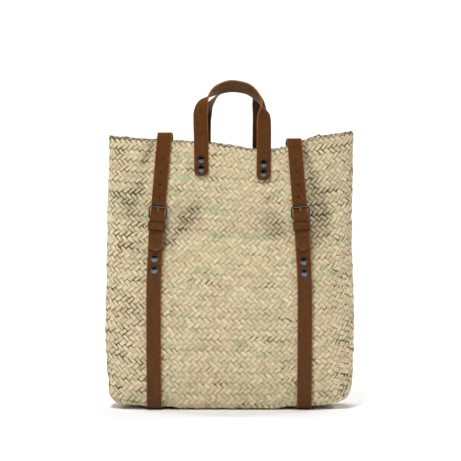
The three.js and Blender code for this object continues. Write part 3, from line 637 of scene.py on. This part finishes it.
def applied(thing):
    """Replaces an object's mesh by what its modifiers make of it."""
    shown = thing.evaluated_get(bpy.context.evaluated_depsgraph_get())
    made = bpy.data.meshes.new_from_object(shown)
    thing.modifiers.clear()
    thing.data = made
    made.name = thing.name
    return thing


def leaf_tree():
    """Flat leaves along polylines, each over two of the others and under two."""
    sizes = ("Fill", "Thickness", "Relief", "Wander", "Lumps", "Lump Scale", "Roll", "Uneven", "Mean Room")
    tree, given = new_tree("Plaited leaves", {name: "Float" for name in sizes} | {"Seed": "Int"})
    add = partial(add_node, tree)
    side_push = 1.109  # takes the sides of a hexagon out to 0.96 of its radius

    over, room, identity = (add(NAMED, {"Name": name}) for name in ("leaf_over", "room", "identity"))
    outward = add(NAMED, {"Name": "outward"}, data_type=FLOAT_VECTOR)
    place = add(NAMED, {"Name": "stray_place"}, data_type=FLOAT_VECTOR)
    noise = add(NOISE, {"Vector": place, "Scale": 1.0, "Detail": 1.0}).outputs["Color"]
    strays = add(VECTOR, [noise, (2, 2, 2), (-1, -1, -1)], operation="MULTIPLY_ADD")
    side_stray, lean_stray, width_stray = add(PARTS, [strays]).outputs

    curve = add("GeometryNodeMeshToCurve", [given["Geometry"]])
    tangent = add("GeometryNodeInputTangent")
    across = add(VECTOR, [tangent, outward], operation="CROSS_PRODUCT")
    here = add("GeometryNodeInputPosition")
    lumps = add(NOISE, {"Vector": here, "Scale": given["Lump Scale"]})
    lump = add(MATH, [lumps, 0.5], operation="SUBTRACT")
    lump = add(MATH, [lump, given["Lumps"]], operation="MULTIPLY")
    rise = add(MATH, [over, given["Relief"], lump], operation="MULTIPLY_ADD")
    raised = add(VECTOR, [outward, rise], operation="MULTIPLY")
    sideways = add(MATH, [side_stray, given["Wander"]], operation="MULTIPLY")
    offset = add(VECTOR, [across, sideways, raised], operation="MULTIPLY_ADD")
    leaning = add(MATH, [lean_stray, given["Roll"]], operation="MULTIPLY")
    normal = add(VECTOR, [across, leaning, outward], operation="MULTIPLY_ADD")
    kept = add("GeometryNodeCaptureAttribute", [curve])
    kept.capture_items.new("VECTOR", "Offset")
    kept.capture_items.new("VECTOR", "Normal")
    tree.links.new(offset.outputs[0], kept.inputs["Offset"])
    tree.links.new(normal.outputs[0], kept.inputs["Normal"])
    moved = add("GeometryNodeSetPosition", {"Geometry": kept, "Offset": kept.outputs["Offset"]})
    turn = {"Curve": moved, "Normal": kept.outputs["Normal"]}
    turned = add("GeometryNodeSetCurveNormal", turn, mode="FREE")
    length = add("GeometryNodeSplineParameter").outputs["Length"]
    along = add(STORE, {"Geometry": turned, "Name": "leaf_along", "Value": length})
    tone = add("FunctionNodeRandomValue", {"ID": identity, "Seed": given["Seed"]}, data_type=FLOAT_VECTOR)
    toned = add(STORE, {"Geometry": along, "Name": "leaf_tone", "Value": tone}, data_type=FLOAT_VECTOR)

    hexagon = add("GeometryNodeCurvePrimitiveCircle", {"Resolution": 6, "Radius": 1.0})
    side = add(MATH, [add(PARTS, [here]).outputs["Y"], side_push], operation="MULTIPLY")
    marked = add(STORE, {"Geometry": hexagon, "Name": "leaf_across", "Value": side})
    half_width = add(MATH, [given["Fill"], side_push / 2], operation="MULTIPLY")
    half_height = add(MATH, [given["Thickness"], 0.5], operation="MULTIPLY")
    half_height = add(MATH, [half_height, given["Mean Room"]], operation="DIVIDE")
    flat = add("ShaderNodeCombineXYZ", [half_height, half_width, 1.0])
    profile = add("GeometryNodeTransform", {0: marked, "Scale": flat})
    width = add(MATH, [width_stray, given["Uneven"], 1.0], operation="MULTIPLY_ADD")
    scale = add(MATH, [room, width], operation="MULTIPLY")
    sweep = {"Curve": toned, "Profile Curve": profile, "Scale": scale, "Fill Caps": True}
    finish_tree(tree, add("GeometryNodeCurveToMesh", sweep), given["Material"], smooth=False)
    return tree


# Materials


def new_material(name, roughness, ior=1.5, specular=0.5):
    """A material with nothing in it but its principled shader and output."""
    made = bpy.data.materials.new(name)
    made.use_nodes = True
    shader = made.node_tree.nodes["Principled BSDF"]
    shader.inputs["Roughness"].default_value = roughness
    shader.inputs["IOR"].default_value = ior
    shader.inputs["Specular IOR Level"].default_value = specular
    return made, made.node_tree, shader


def add_surface(tree, shader, colour, height, strength, distance):
    """Leads a colour and a height to the shader."""
    bump = add_node(tree, "ShaderNodeBump", {"Height": height, "Strength": strength, "Distance": distance})
    tree.links.new(colour.outputs[2], shader.inputs["Base Color"])
    tree.links.new(bump.outputs[0], shader.inputs["Normal"])


def straw_material(weave):
    """Palm leaf, dried and plaited by hand: matt, with fine ribs along each leaf and a colour of its own, and
    with shade painted between the leaves and in its creases.
    """
    made, tree, shader = new_material("Plaited palm leaf", roughness=0.62, ior=1.45)
    add = partial(add_node, tree)
    half_leaf = 3.1 * MM
    rib = 1.8 * MM  # coarser than real, so that it shows
    rib_length = 14 * MM
    patch = 26 * MM
    patch_stretch = (0.4, 1.0, 1.9)  # patches run along the rows
    wear_size = 18 * MM
    # The lines between leaves darken more often away from this place, towards the bag's sides.
    side_dark_centre = 20 * MM  # to the right of the bag's middle
    side_dark_start, side_dark_full = 80 * MM, 200 * MM  # to either side of it

    tone = add(PARTS, [add(READ, attribute_name="leaf_tone").outputs["Vector"]]).outputs
    names = ("leaf_across", "leaf_along", "leaf_over", "crease")
    across, along, over, creased = (add(READ, attribute_name=name).outputs["Fac"] for name in names)
    place = add("ShaderNodeTexCoord").outputs["Object"]
    stretched = add("ShaderNodeMapping", {"Vector": place, "Scale": patch_stretch})

    # Patches of leaves, and some leaves more than others, are greener or ruddier than the rest.
    green_tone, green_start, green_full = 0.3, 0.72, 0.92
    ruddy_tone, ruddy_start, ruddy_full, ruddiest = 0.55, 0.04, -0.16, 0.75
    patches = add(NOISE, {"Vector": stretched, "Scale": 1 / patch, "Detail": 2.0})
    greener = add(MATH, [tone[0], green_tone, patches], operation="MULTIPLY_ADD")
    green = add(RANGE, [greener, green_start, green_full], **SMOOTH)
    colour = add(MIX, {0: green, 6: weave.straw, 7: weave.green}, data_type="RGBA")
    paler = add(MATH, [tone[1], -ruddy_tone, patches], operation="MULTIPLY_ADD")
    ruddy = add(RANGE, [paler, ruddy_full, ruddy_start, ruddiest, 0.0], **SMOOTH)
    colour = add(MIX, {0: ruddy, 6: colour, 7: weave.pink}, data_type="RGBA")

    # Each leaf is a little lighter or darker, and has fibres of its own along it.
    darkest, lightest, fibre_light, fibre_shift = 0.49, 0.64, 0.9, 40
    leaf_place = add("ShaderNodeCombineXYZ", [across, along, tone[2]])
    ribs = (half_leaf / rib, 1 / rib_length, fibre_shift)
    fibre_place = add(VECTOR, [leaf_place, ribs], operation="MULTIPLY")
    fibres = add(NOISE, {"Vector": fibre_place, "Scale": 1.0, "Detail": 2.0})
    leaf_light = add(RANGE, {0: tone[2], 3: darkest, 4: lightest}, **SMOOTH)
    light = add(MATH, [fibres, fibre_light, leaf_light], operation="MULTIPLY_ADD")
    colour = add(MIX, {0: 1.0, 6: colour, 7: light}, data_type="RGBA", blend_type="MULTIPLY")

    # Painted shade widens and darkens the lines between leaves in the creases, under the rim's fold and
    # beside the straps; random patches of wear do too, and the lines darken more often towards the bag's
    # sides, more on its left than its right.
    crease_start, crease_full, crease_line_shade, crease_shade = 0.15, 0.85, 0.22, 0.3
    side_darkening, wear_low, wear_high, wear_gap = 0.2, 0.54, 0.76, 0.45
    crease = add(RANGE, [creased, crease_start, crease_full], **SMOOTH)
    sideways = add(MATH, [add(PARTS, [place]).outputs["X"], side_dark_centre], operation="SUBTRACT")
    sideways = add(MATH, [sideways], operation="ABSOLUTE")
    outer = add(RANGE, {0: sideways, 1: side_dark_start, 2: side_dark_full, 4: side_darkening}, **SMOOTH)
    wear = add(NOISE, {"Vector": stretched, "Scale": 1 / wear_size, "Detail": 1.0})
    wear = add(MATH, [wear, outer], operation="ADD")
    worn = add(RANGE, {0: wear, 1: wear_low, 2: wear_high, 4: wear_gap}, **SMOOTH)
    worn = add(MATH, [worn, tone[1]], operation="MULTIPLY")
    # loose holds the painted crease shade and the random wear together.
    loose = add(MATH, [crease, crease_line_shade, worn], operation="MULTIPLY_ADD")

    # A dark line runs along a leaf's edges, partly the gap between leaves and partly painted shade: it is
    # thicker on one edge, where it paints a shadow, and it runs across the leaf where it goes under, where it
    # paints shade.
    edge_start, edge_full, far_share, end_share, line_depth = 0.74, 0.96, 0.85, 0.1, 0.78
    gap_start, gap_full = 0.05, 0.25
    far_edge = add(MATH, [across, -far_share], operation="MULTIPLY")
    nearer = add(MATH, [across, far_edge], operation="MAXIMUM")
    line_start = add(MATH, [edge_start, loose], operation="SUBTRACT")
    edge = add(RANGE, [nearer, line_start, edge_full], **SMOOTH)
    height = add(MATH, [over], operation="ABSOLUTE")
    end_reach = add(MATH, [loose, end_share], operation="ADD")
    end = add(RANGE, [height, 0.0, end_reach, 1.0, 0.0], **SMOOTH)
    dark = add(MATH, [edge, end], operation="MAXIMUM")
    depth = add(MATH, [loose, line_depth], operation="ADD")
    dark = add(MATH, [dark, depth], operation="MULTIPLY")
    dark_gap_share = add(RANGE, [loose, gap_start, gap_full], **SMOOTH)
    line = add(MIX, {0: dark_gap_share, 6: weave.line, 7: weave.gap}, data_type="RGBA")
    colour = add(MIX, {0: dark, 6: colour, 7: line}, data_type="RGBA")
    # Painted shade: the straw turns towards the gap colour in the dents, along the crease lines, under the
    # rim's fold and beside the straps.
    shade = add(MATH, [crease, crease_shade], operation="MULTIPLY")
    colour = add(MIX, {0: shade, 6: colour, 7: weave.gap}, data_type="RGBA")
    add_surface(tree, shader, colour, fibres, strength=0.5, distance=0.15 * MM)
    return made


def leather_material(name, leather, cut, flesh):
    """Vegetable tanned cowhide: satin oiled grain side, dull flesh side, and cut edges, raw or painted dark
    as shade.
    """
    made, tree, shader = new_material(name, roughness=0.6, ior=1.38, specular=0.35)
    add = partial(add_node, tree)
    pore = 0.7 * MM
    fleck = 2.4 * MM
    mottle = 9 * MM
    dull, light_cloud, fleck_light = 0.34, 0.56, 1.2

    side = add(READ, attribute_name="hide_side").outputs["Fac"]
    place = add("ShaderNodeTexCoord").outputs["Object"]
    pores = add("ShaderNodeTexVoronoi", {"Vector": place, "Scale": 1 / pore, "Randomness": 1.0})
    clouds = add(NOISE, {"Vector": place, "Scale": 1 / mottle, "Detail": 4.0, "Roughness": 0.6})
    flecks = add(NOISE, {"Vector": place, "Scale": 1 / fleck, "Detail": 3.0})

    # hide_side is 1 on the grain side, -1 on the flesh side and 0 on a cut edge, so steps lie between them.
    inside = add(RANGE, [side, -0.6, -0.4, 1.0, 0.0], **SMOOTH)
    colour = add(MIX, {0: inside, 6: leather.grain, 7: flesh}, data_type="RGBA")
    cloud_light = add(RANGE, [clouds, 0.3, 0.7, dull, light_cloud], **SMOOTH)
    light = add(MATH, [flecks, fleck_light, cloud_light], operation="MULTIPLY_ADD")
    colour = add(MIX, {0: 1.0, 6: colour, 7: light}, data_type="RGBA", blend_type="MULTIPLY")
    whole_hide = add(MATH, [side], operation="ABSOLUTE")
    cut_side = add(RANGE, [whole_hide, 0.4, 0.6, 1.0, 0.0], **SMOOTH)
    ragged = add(RANGE, [flecks, 0.3, 0.6, 0.6, 1.0], **SMOOTH)
    ragged = add(MATH, [ragged, cut_side], operation="MULTIPLY")
    colour = add(MIX, {0: ragged, 6: colour, 7: cut}, data_type="RGBA")
    height = add(MATH, [pores, 0.5, flecks], operation="MULTIPLY_ADD")
    add_surface(tree, shader, colour, height, strength=0.35, distance=0.2 * MM)
    return made


def metal_material(name, colour, roughness, scratch):
    """Plated steel wire or cap: it mirrors the room softly, with fine scuffs."""
    made, tree, shader = new_material(name, roughness)
    shader.inputs["Base Color"].default_value = colour
    shader.inputs["Metallic"].default_value = 1.0
    place = add_node(tree, "ShaderNodeTexCoord").outputs["Object"]
    scuffs = add_node(tree, NOISE, {"Vector": place, "Scale": 1 / scratch, "Detail": 3.0})
    spread = add_node(tree, RANGE, {0: scuffs, 3: 0.7 * roughness, 4: 1.5 * roughness})
    tree.links.new(spread.outputs[0], shader.inputs["Roughness"])
    return made


# Leather and what carries any piece along


def merged_copy(node, merge):
    """A copy of a node's mesh, whose loose triangles share their points."""
    body = bmesh.new()
    body.from_mesh(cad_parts[node].data)
    bmesh.ops.remove_doubles(body, verts=body.verts, dist=merge)
    return body


def leather_mesh(node, leather):
    """A belt or keeper. Each face has its side of the hide: 1 is the grain side, and 0 a cut edge."""
    body = merged_copy(node, leather.merge)
    layer = body.faces.layers.float.new("hide_side")
    tree = BVHTree.FromBMesh(body)
    for face in body.faces:
        inward = -face.normal
        _, _, _, depth = tree.ray_cast(face.calc_center_median() + inward * leather.merge, inward)
        face[layer] = 1 if (depth or 0) < 2 * leather.thickness else 0
    flat = math.radians(0.5)
    bmesh.ops.dissolve_limit(body, angle_limit=flat, verts=body.verts, edges=body.edges)
    broad = [face for face in body.faces if face[layer] == 1]
    # A keeper's border takes its near black edge colour, which paints shade.
    border = leather.keeper_shade_border if node in KEEPERS else leather.strap_border
    borders = bmesh.ops.inset_region(body, faces=broad, thickness=border, depth=-border / 6)
    for face in borders["faces"]:  # the punched holes get no border
        face[layer] = 1 if face.calc_area() < border * leather.hole_side else 0
    return mesh_from(body, f"{node}_leather")


def handle_lines(basket, leather, node):
    """Centres, outward directions, ways across and half widths along a handle."""
    face = -1 if node == "handle_front" else 1
    route = FRONT_ROUTE if face < 0 else BACK_ROUTE
    foot, arch_top = basket.height - leather.handle_hang, basket.height + leather.handle_rise

    def leg(x):
        """Gives a leg's depth at any height: a straight line that clears the basket, then leans in."""
        rim = float(basket.rim(np.array(x), face))
        steps = np.linspace(0, 1, 9)  # places up the leg where it may touch the basket
        heights = mix(foot, rim, steps)
        depths = np.array([basket.strip_depth(face, x, z, leather.handle_width) for z in heights])
        spare = (depths - mix(depths[0], depths[-1], steps)).max() + leather.clearance + leather.thickness / 2

        def depth(z):
            lean = leather.handle_lean * np.clip((z - rim) / (arch_top - rim), 0, 2)
            return mix(depths[0], depths[-1], np.clip((z - foot) / (rim - foot), 0, 1)) + spare - lean

        return depth

    left, right = (leg(row["across"] * leather.handle_span) for row in (route[0], route[-1]))

    def place(along):
        x = leather.handle_span * read_table(route, "along", "across", along)
        z = mix(foot, arch_top, read_table(route, "along", "up", along))
        depth = mix(left(z), right(z), smoothstep(along, 0.25, 0.75))  # the legs keep their own depths
        return np.stack([x, face * depth, z], axis=1)

    along = np.linspace(0, 1, leather.handle_rings)
    centre = place(along)
    travelled = np.concatenate([[0], np.cumsum(np.linalg.norm(np.diff(centre, axis=0), axis=1))])
    heading = unit(np.gradient(centre, axis=0))
    roll = np.radians(read_table(route, "along", "roll", along))[:, None]
    arch = unit(np.stack([-heading[:, 2], np.zeros(len(along)), heading[:, 0]], axis=1))
    out = arch * np.cos(roll) + np.array([0, -face, 0]) * np.sin(roll)
    out = unit(out - heading * np.sum(out * heading, axis=1, keepdims=True))
    from_end = np.minimum(travelled, travelled[-1] - travelled) / leather.handle_width
    half = leather.handle_width / 2 * read_table(LEG_END, "back", "width", from_end)
    return centre, out, np.cross(heading, out), half


def worn_section(half_thickness, corner):
    """A strip's cross-section, point by point: side, distance in from it, height and side of the hide."""
    up, down = (0, 45, 90), (90, 45, 0)
    section = []
    for side, face, turns in ((1, 1, up), (-1, 1, down), (-1, -1, up), (1, -1, down)):
        for turn in turns:
            drawn = corner * (1 - math.cos(math.radians(turn)))
            height = face * (half_thickness - corner * (1 - math.sin(math.radians(turn))))
            hide = face if turn == 90 and side == face else 0
            section.append((side, drawn, height, hide))
    return section


def handle_mesh(basket, leather, node):
    """A handle as a strip with worn edges along its line."""
    centre, out, across, half = handle_lines(basket, leather, node)
    section = worn_section(leather.thickness / 2, leather.corner)
    count = len(section)
    places = [
        centre[i] + across[i] * side * (half[i] - drawn) + out[i] * height
        for i in range(len(centre))
        for side, drawn, height, _ in section
    ]
    faces, hide_sides = [], []
    for i in range(len(centre) - 1):
        for k, (_, _, _, hide) in enumerate(section):
            n = (k + 1) % count
            faces.append((i * count + k, i * count + n, (i + 1) * count + n, (i + 1) * count + k))
            hide_sides.append(hide)
    last = (len(centre) - 1) * count
    faces += [tuple(range(count)), tuple(last + k for k in reversed(range(count)))]
    mesh = bpy.data.meshes.new(f"{node}_leather")
    mesh.from_pydata([tuple(place) for place in places], [], faces)
    mesh.attributes.new("hide_side", "FLOAT", "FACE").data.foreach_set("value", hide_sides + [0, 0])
    return mesh


def place_piece(thing, slot, *nodes):
    """Hides the nodes that a finished piece stands for and takes it along with the bag."""
    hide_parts(*nodes)
    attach(thing, "root")


def add_leather(context, mesh, node, slot):
    """Adds a leather piece that stands for a node."""
    leather = context.scene.straw_bag_leather
    name, cut, flesh = "Oiled brown cowhide", leather.raw, leather.flesh
    if node in STRAPS:
        name, cut = "Brown cowhide with pale edges", leather.pale
    if node in KEEPERS:
        # Painted shade: a keeper's cut edges are painted near black for the shade along them.
        name, cut = "Burnished brown cowhide", leather.keeper_edge_shade
    # Painted shade: the back handle's flesh side takes a darker, shaded copy of the flesh colour.
    if node == "handle_back":
        name, flesh = "Brown cowhide dark inside", leather.back_flesh_shade
    made = bpy.data.materials.get(name) or leather_material(name, leather, cut, flesh)
    mesh.materials.append(made)
    mesh.shade_smooth()
    mesh.set_sharp_from_angle(angle=math.radians(40))
    place_piece(add_object(mesh.name, mesh), slot, node)


# Operators


class STRAWBAG_OT_weave(bpy.types.Operator):
    """Plaits the basket's wall, base and folded rim from two sets of leaves"""

    bl_idname = "straw_bag.weave"
    bl_label = "Plait Basket"

    def execute(self, context):
        weave = context.scene.straw_bag_weave
        basket = Basket(weave)
        half_way_up, points = 0.5, 400
        x, y, _, _, _ = basket.outline(half_way_up, 0, points)
        perimeter = np.hypot(x - np.roll(x, 1), y - np.roll(y, 1)).sum()
        leaves = round(perimeter / weave.leaf_pitch)
        tree = leaf_tree()
        apart = 200  # more than the leaves that lean one way, so that no two leaves have one number
        half_pitch, half_row = weave.leaf_pitch / 2, weave.row_height / 2
        shared = ("fill", "relief", "wander", "lumps", "roll", "uneven", "seed")
        values = {name.title(): getattr(weave, name) for name in shared} | {
            "Thickness": weave.leaf_thickness,
            "Lump Scale": 1 / weave.lump_size,
            "Mean Room": 2 * half_pitch * half_row / math.hypot(half_pitch, half_row),
            "Material": straw_material(weave),
        }
        for lean, lines in leaf_lines(basket, leaves):
            half = len(lines) // 2
            for part, chosen in enumerate((lines[:half], lines[half:])):
                name = f"leaves_{'down' if lean < 0 else 'up'}_{part + 1}"
                first = apart * (lean > 0) + half * part
                mesh = polyline_mesh(name, weave, chosen, first, lean)
                place_piece(grow(name, mesh, tree, values), "straw", "basket")
        return {"FINISHED"}


class STRAWBAG_OT_straps(bpy.types.Operator):
    """Makes the two belts that go right round the bag, with their punched holes, and their keepers"""

    bl_idname = "straw_bag.straps"
    bl_label = "Cut Straps"

    def execute(self, context):
        for node in STRAPS + KEEPERS:
            add_leather(context, leather_mesh(node, context.scene.straw_bag_leather), node, "strap_leather")
        return {"FINISHED"}


class STRAWBAG_OT_handles(bpy.types.Operator):
    """Makes the two carrying handles"""

    bl_idname = "straw_bag.handles"
    bl_label = "Cut Handles"

    def execute(self, context):
        basket = Basket(context.scene.straw_bag_weave)
        for node in HANDLES:
            mesh = handle_mesh(basket, context.scene.straw_bag_leather, node)
            add_leather(context, mesh, node, "handle_leather")
        return {"FINISHED"}


class STRAWBAG_OT_buckles(bpy.types.Operator):
    """Smooths the wire frames and their tongues"""

    bl_idname = "straw_bag.buckles"
    bl_label = "Polish Buckles"

    def execute(self, context):
        metal = context.scene.straw_bag_metal
        material = metal_material("Dull nickel wire", metal.steel, roughness=0.2, scratch=1.2 * MM)
        for node in WIRES:
            mesh = mesh_from(merged_copy(node, context.scene.straw_bag_leather.merge), f"{node}_wire")
            mesh.materials.append(material)
            thing = add_object(mesh.name, mesh)
            swell = thing.modifiers.new("Swell", "DISPLACE")
            swell.strength = metal.swell
            swell.mid_level = 0
            smooth = thing.modifiers.new("Round", "SUBSURF")
            smooth.levels = smooth.render_levels = 2
            applied(thing)
            thing.data.shade_smooth()
            place_piece(thing, "steel", node)
        return {"FINISHED"}


def lathed(name, profile, steps):
    """A shape turned round the Z axis from points that give radius and height."""
    body = bmesh.new()
    points = [body.verts.new((radius, 0, height)) for radius, height in profile]
    edges = [body.edges.new(pair) for pair in zip(points, points[1:])]
    around = {"axis": (0, 0, 1), "cent": (0, 0, 0), "angle": 2 * math.pi, "steps": steps}
    bmesh.ops.spin(body, geom=points + edges, **around)
    bmesh.ops.remove_doubles(body, verts=body.verts, dist=1e-4)
    bmesh.ops.recalc_face_normals(body, faces=body.faces)
    return mesh_from(body, name)


def rivet_tree():
    """Caps on points, turned to each point's outward side."""
    tree, given = new_tree("Rivets", {"Cap": "Object", "Radius": "Float", "Height": "Float"})
    add = partial(add_node, tree)
    outward = add(NAMED, {"Name": "outward"}, data_type=FLOAT_VECTOR)
    turn = add("FunctionNodeAlignRotationToVector", {"Vector": outward}, axis="Z")
    cap = add("GeometryNodeObjectInfo", {"Object": given["Cap"]}).outputs["Geometry"]
    size = add("ShaderNodeCombineXYZ", [given["Radius"], given["Radius"], given["Height"]])
    placed = {"Points": given["Geometry"], "Instance": cap, "Rotation": turn, "Scale": size}
    finish_tree(tree, add("GeometryNodeInstanceOnPoints", placed), given["Material"])
    return tree


def rivet_seats(node, merge):
    """A rivet's outward direction, and the middles of the undersides of its outer and its inner cap."""
    body = merged_copy(node, merge)
    places = np.array([vertex.co for vertex in body.verts])
    body.free()
    middle = places.mean(axis=0)
    _, _, axes = np.linalg.svd(places - middle)
    axis = axes[0] if axes[0][1] * middle[1] > 0 else -axes[0]
    heights = (places - middle) @ axis
    radii = np.linalg.norm(places - middle - np.outer(heights, axis), axis=1)
    outer = heights[(radii > 0.9 * radii.max()) & (heights > 0)].min()
    return axis, middle + axis * outer, middle + axis * heights.min()


class STRAWBAG_OT_rivets(bpy.types.Operator):
    """Sets a domed cap on each rivet and a flat one inside the bag"""

    bl_idname = "straw_bag.rivets"
    bl_label = "Set Rivets"

    def execute(self, context):
        metal = context.scene.straw_bag_metal
        merge = context.scene.straw_bag_leather.merge
        material = metal_material("Gunmetal rivet", metal.rivet, roughness=0.16, scratch=2 * MM)
        profile = [(0, 0)] + [(row["out"], row["up"]) for row in CAP_PROFILE]
        cap = add_object("rivet_cap", lathed("rivet_cap", profile, steps=32))
        tree = rivet_tree()
        for strip in STRAPS + HANDLES:
            nodes = [name for name in RIVETS if name.startswith(strip.replace("_", "_rivet_"))]
            seats = [rivet_seats(node, merge) for node in nodes]
            outer = [(axis, seat) for axis, seat, _ in seats]
            inner = [(-axis, foot + axis * metal.back_height) for axis, _, foot in seats]
            caps = {
                "caps": (outer, metal.cap_diameter / 2, metal.cap_height),
                "back_caps": (inner, metal.back_diameter / 2, metal.back_height),
            }
            for label, (placed, radius, height) in caps.items():
                mesh = bpy.data.meshes.new(label)
                mesh.from_pydata([tuple(seat) for _, seat in placed], [], [])
                outward = np.array([axis for axis, _ in placed], np.float32).ravel()
                mesh.attributes.new("outward", FLOAT_VECTOR, "POINT").data.foreach_set("vector", outward)
                values = {"Cap": cap, "Radius": radius, "Height": height, "Material": material}
                thing = grow(f"{strip}_rivet_{label}", mesh, tree, values)
                place_piece(thing, "rivet_steel", *nodes)
        bpy.data.objects.remove(cap)
        return {"FINISHED"}


class STRAWBAG_OT_stage(bpy.types.Operator):
    """Adds the camera, a white sweep and soft studio light"""

    bl_idname = "straw_bag.stage"
    bl_label = "Set Stage"

    def execute(self, context):
        stage = context.scene.straw_bag_stage
        camera = bpy.data.cameras.new("Camera")
        camera.sensor_width = 36
        camera.lens = camera.sensor_width * stage.focal_pixels / stage.picture_pixels
        eye = add_object("Camera", camera)
        eye.location = (0, -stage.distance, stage.eye_height)
        eye.rotation_euler = (math.pi / 2, 0, 0)
        context.scene.camera = eye
        self.add_sweep(stage)
        self.add_lights(context)
        return {"FINISHED"}

    def add_sweep(self, stage):
        """A round floor that curves up into a low wall on every side."""
        made, _, shader = new_material("Matt white sweep", roughness=1.0, specular=0.0)
        shader.inputs["Base Color"].default_value = stage.floor
        reach, cove, wall_height, sides = 3.2, 1.4, 1.8, 64
        profile = [(0.0, 0.0), (reach, 0.0)]
        for turn in range(10, 91, 10):
            angle = math.radians(turn)
            profile.append((reach + cove * math.sin(angle), cove * (1 - math.cos(angle))))
        profile.append((reach + cove, wall_height))
        mesh = lathed("sweep", profile, sides)
        mesh.shade_smooth()
        mesh.materials.append(made)
        add_object("sweep", mesh)

    def add_lights(self, context):
        """A dim sky that fades out above, and four round lamps that no steel mirrors."""
        world = bpy.data.worlds.new("Studio")
        world.use_nodes = True
        sky = world.node_tree
        direction = add_node(sky, "ShaderNodeTexCoord").outputs["Generated"]
        height = add_node(sky, PARTS, [direction]).outputs["Z"]
        low, high, brightest = 0.1, 0.7, 0.25
        glow = add_node(sky, RANGE, [height, low, high, brightest, 0.0])
        sky.nodes["Background"].inputs["Color"].default_value = linear("#ffffff")
        sky.links.new(glow.outputs[0], sky.nodes["Background"].inputs["Strength"])
        context.scene.world = world
        context.scene.view_settings.view_transform = "Standard"
        lamps = [
            dict(name="key", place=(-0.45, -1.2, 2.7), aim=(0, 0, 0.2), size=0.8, power=71),
            dict(name="top", place=(0.2, 0.8, 2.4), aim=(0, 0, 0.0), size=1.0, power=30),
            dict(name="backdrop_left", place=(-2.6, 1.2, 2.2), aim=(0.6, 4.6, 0.6), size=1.5, power=105),
            dict(name="backdrop_right", place=(2.6, 1.2, 2.2), aim=(-0.6, 4.6, 0.6), size=1.5, power=105),
        ]
        for lamp in lamps:
            light = bpy.data.lights.new(lamp["name"], "AREA")
            light.shape = "DISK"
            light.size = lamp["size"]
            light.energy = lamp["power"]
            thing = add_object(lamp["name"], light)
            thing.location = lamp["place"]
            aim = Vector(lamp["aim"]) - thing.location
            thing.rotation_euler = aim.to_track_quat("-Z", "Y").to_euler()
            thing.visible_glossy = False


class STRAWBAG_PT_panel(bpy.types.Panel):
    """The steps of making the bag"""

    bl_label = "Straw Bag"
    bl_space_type = "VIEW_3D"
    bl_region_type = "UI"
    bl_category = "Straw Bag"

    def draw(self, context):
        for operator in OPERATORS:
            self.layout.operator(operator.bl_idname)
        for group in GROUPS:
            box = self.layout.box()
            settings = getattr(context.scene, group)
            for key in settings.bl_rna.properties.keys():
                if key not in ("rna_type", "name"):
                    box.prop(settings, key)


OPERATORS = (
    STRAWBAG_OT_stage,
    STRAWBAG_OT_weave,
    STRAWBAG_OT_straps,
    STRAWBAG_OT_handles,
    STRAWBAG_OT_buckles,
    STRAWBAG_OT_rivets,
)
GROUPS = {
    "straw_bag_weave": StrawBagWeave,
    "straw_bag_leather": StrawBagLeather,
    "straw_bag_metal": StrawBagMetal,
    "straw_bag_stage": StrawBagStage,
}


def register():
    for group in GROUPS.values():
        bpy.utils.register_class(group)
    for made in (*OPERATORS, STRAWBAG_PT_panel):
        bpy.utils.register_class(made)
    for name, group in GROUPS.items():
        setattr(bpy.types.Scene, name, PointerProperty(type=group))


def unregister():
    for name in GROUPS:
        delattr(bpy.types.Scene, name)
    for made in (STRAWBAG_PT_panel, *reversed(OPERATORS), *GROUPS.values()):
        bpy.utils.unregister_class(made)


def main():
    register()
    bpy.ops.straw_bag.stage()
    bpy.ops.straw_bag.weave()
    bpy.ops.straw_bag.straps()
    bpy.ops.straw_bag.handles()
    bpy.ops.straw_bag.buckles()
    bpy.ops.straw_bag.rivets()


if __name__ == "__main__":
    main()
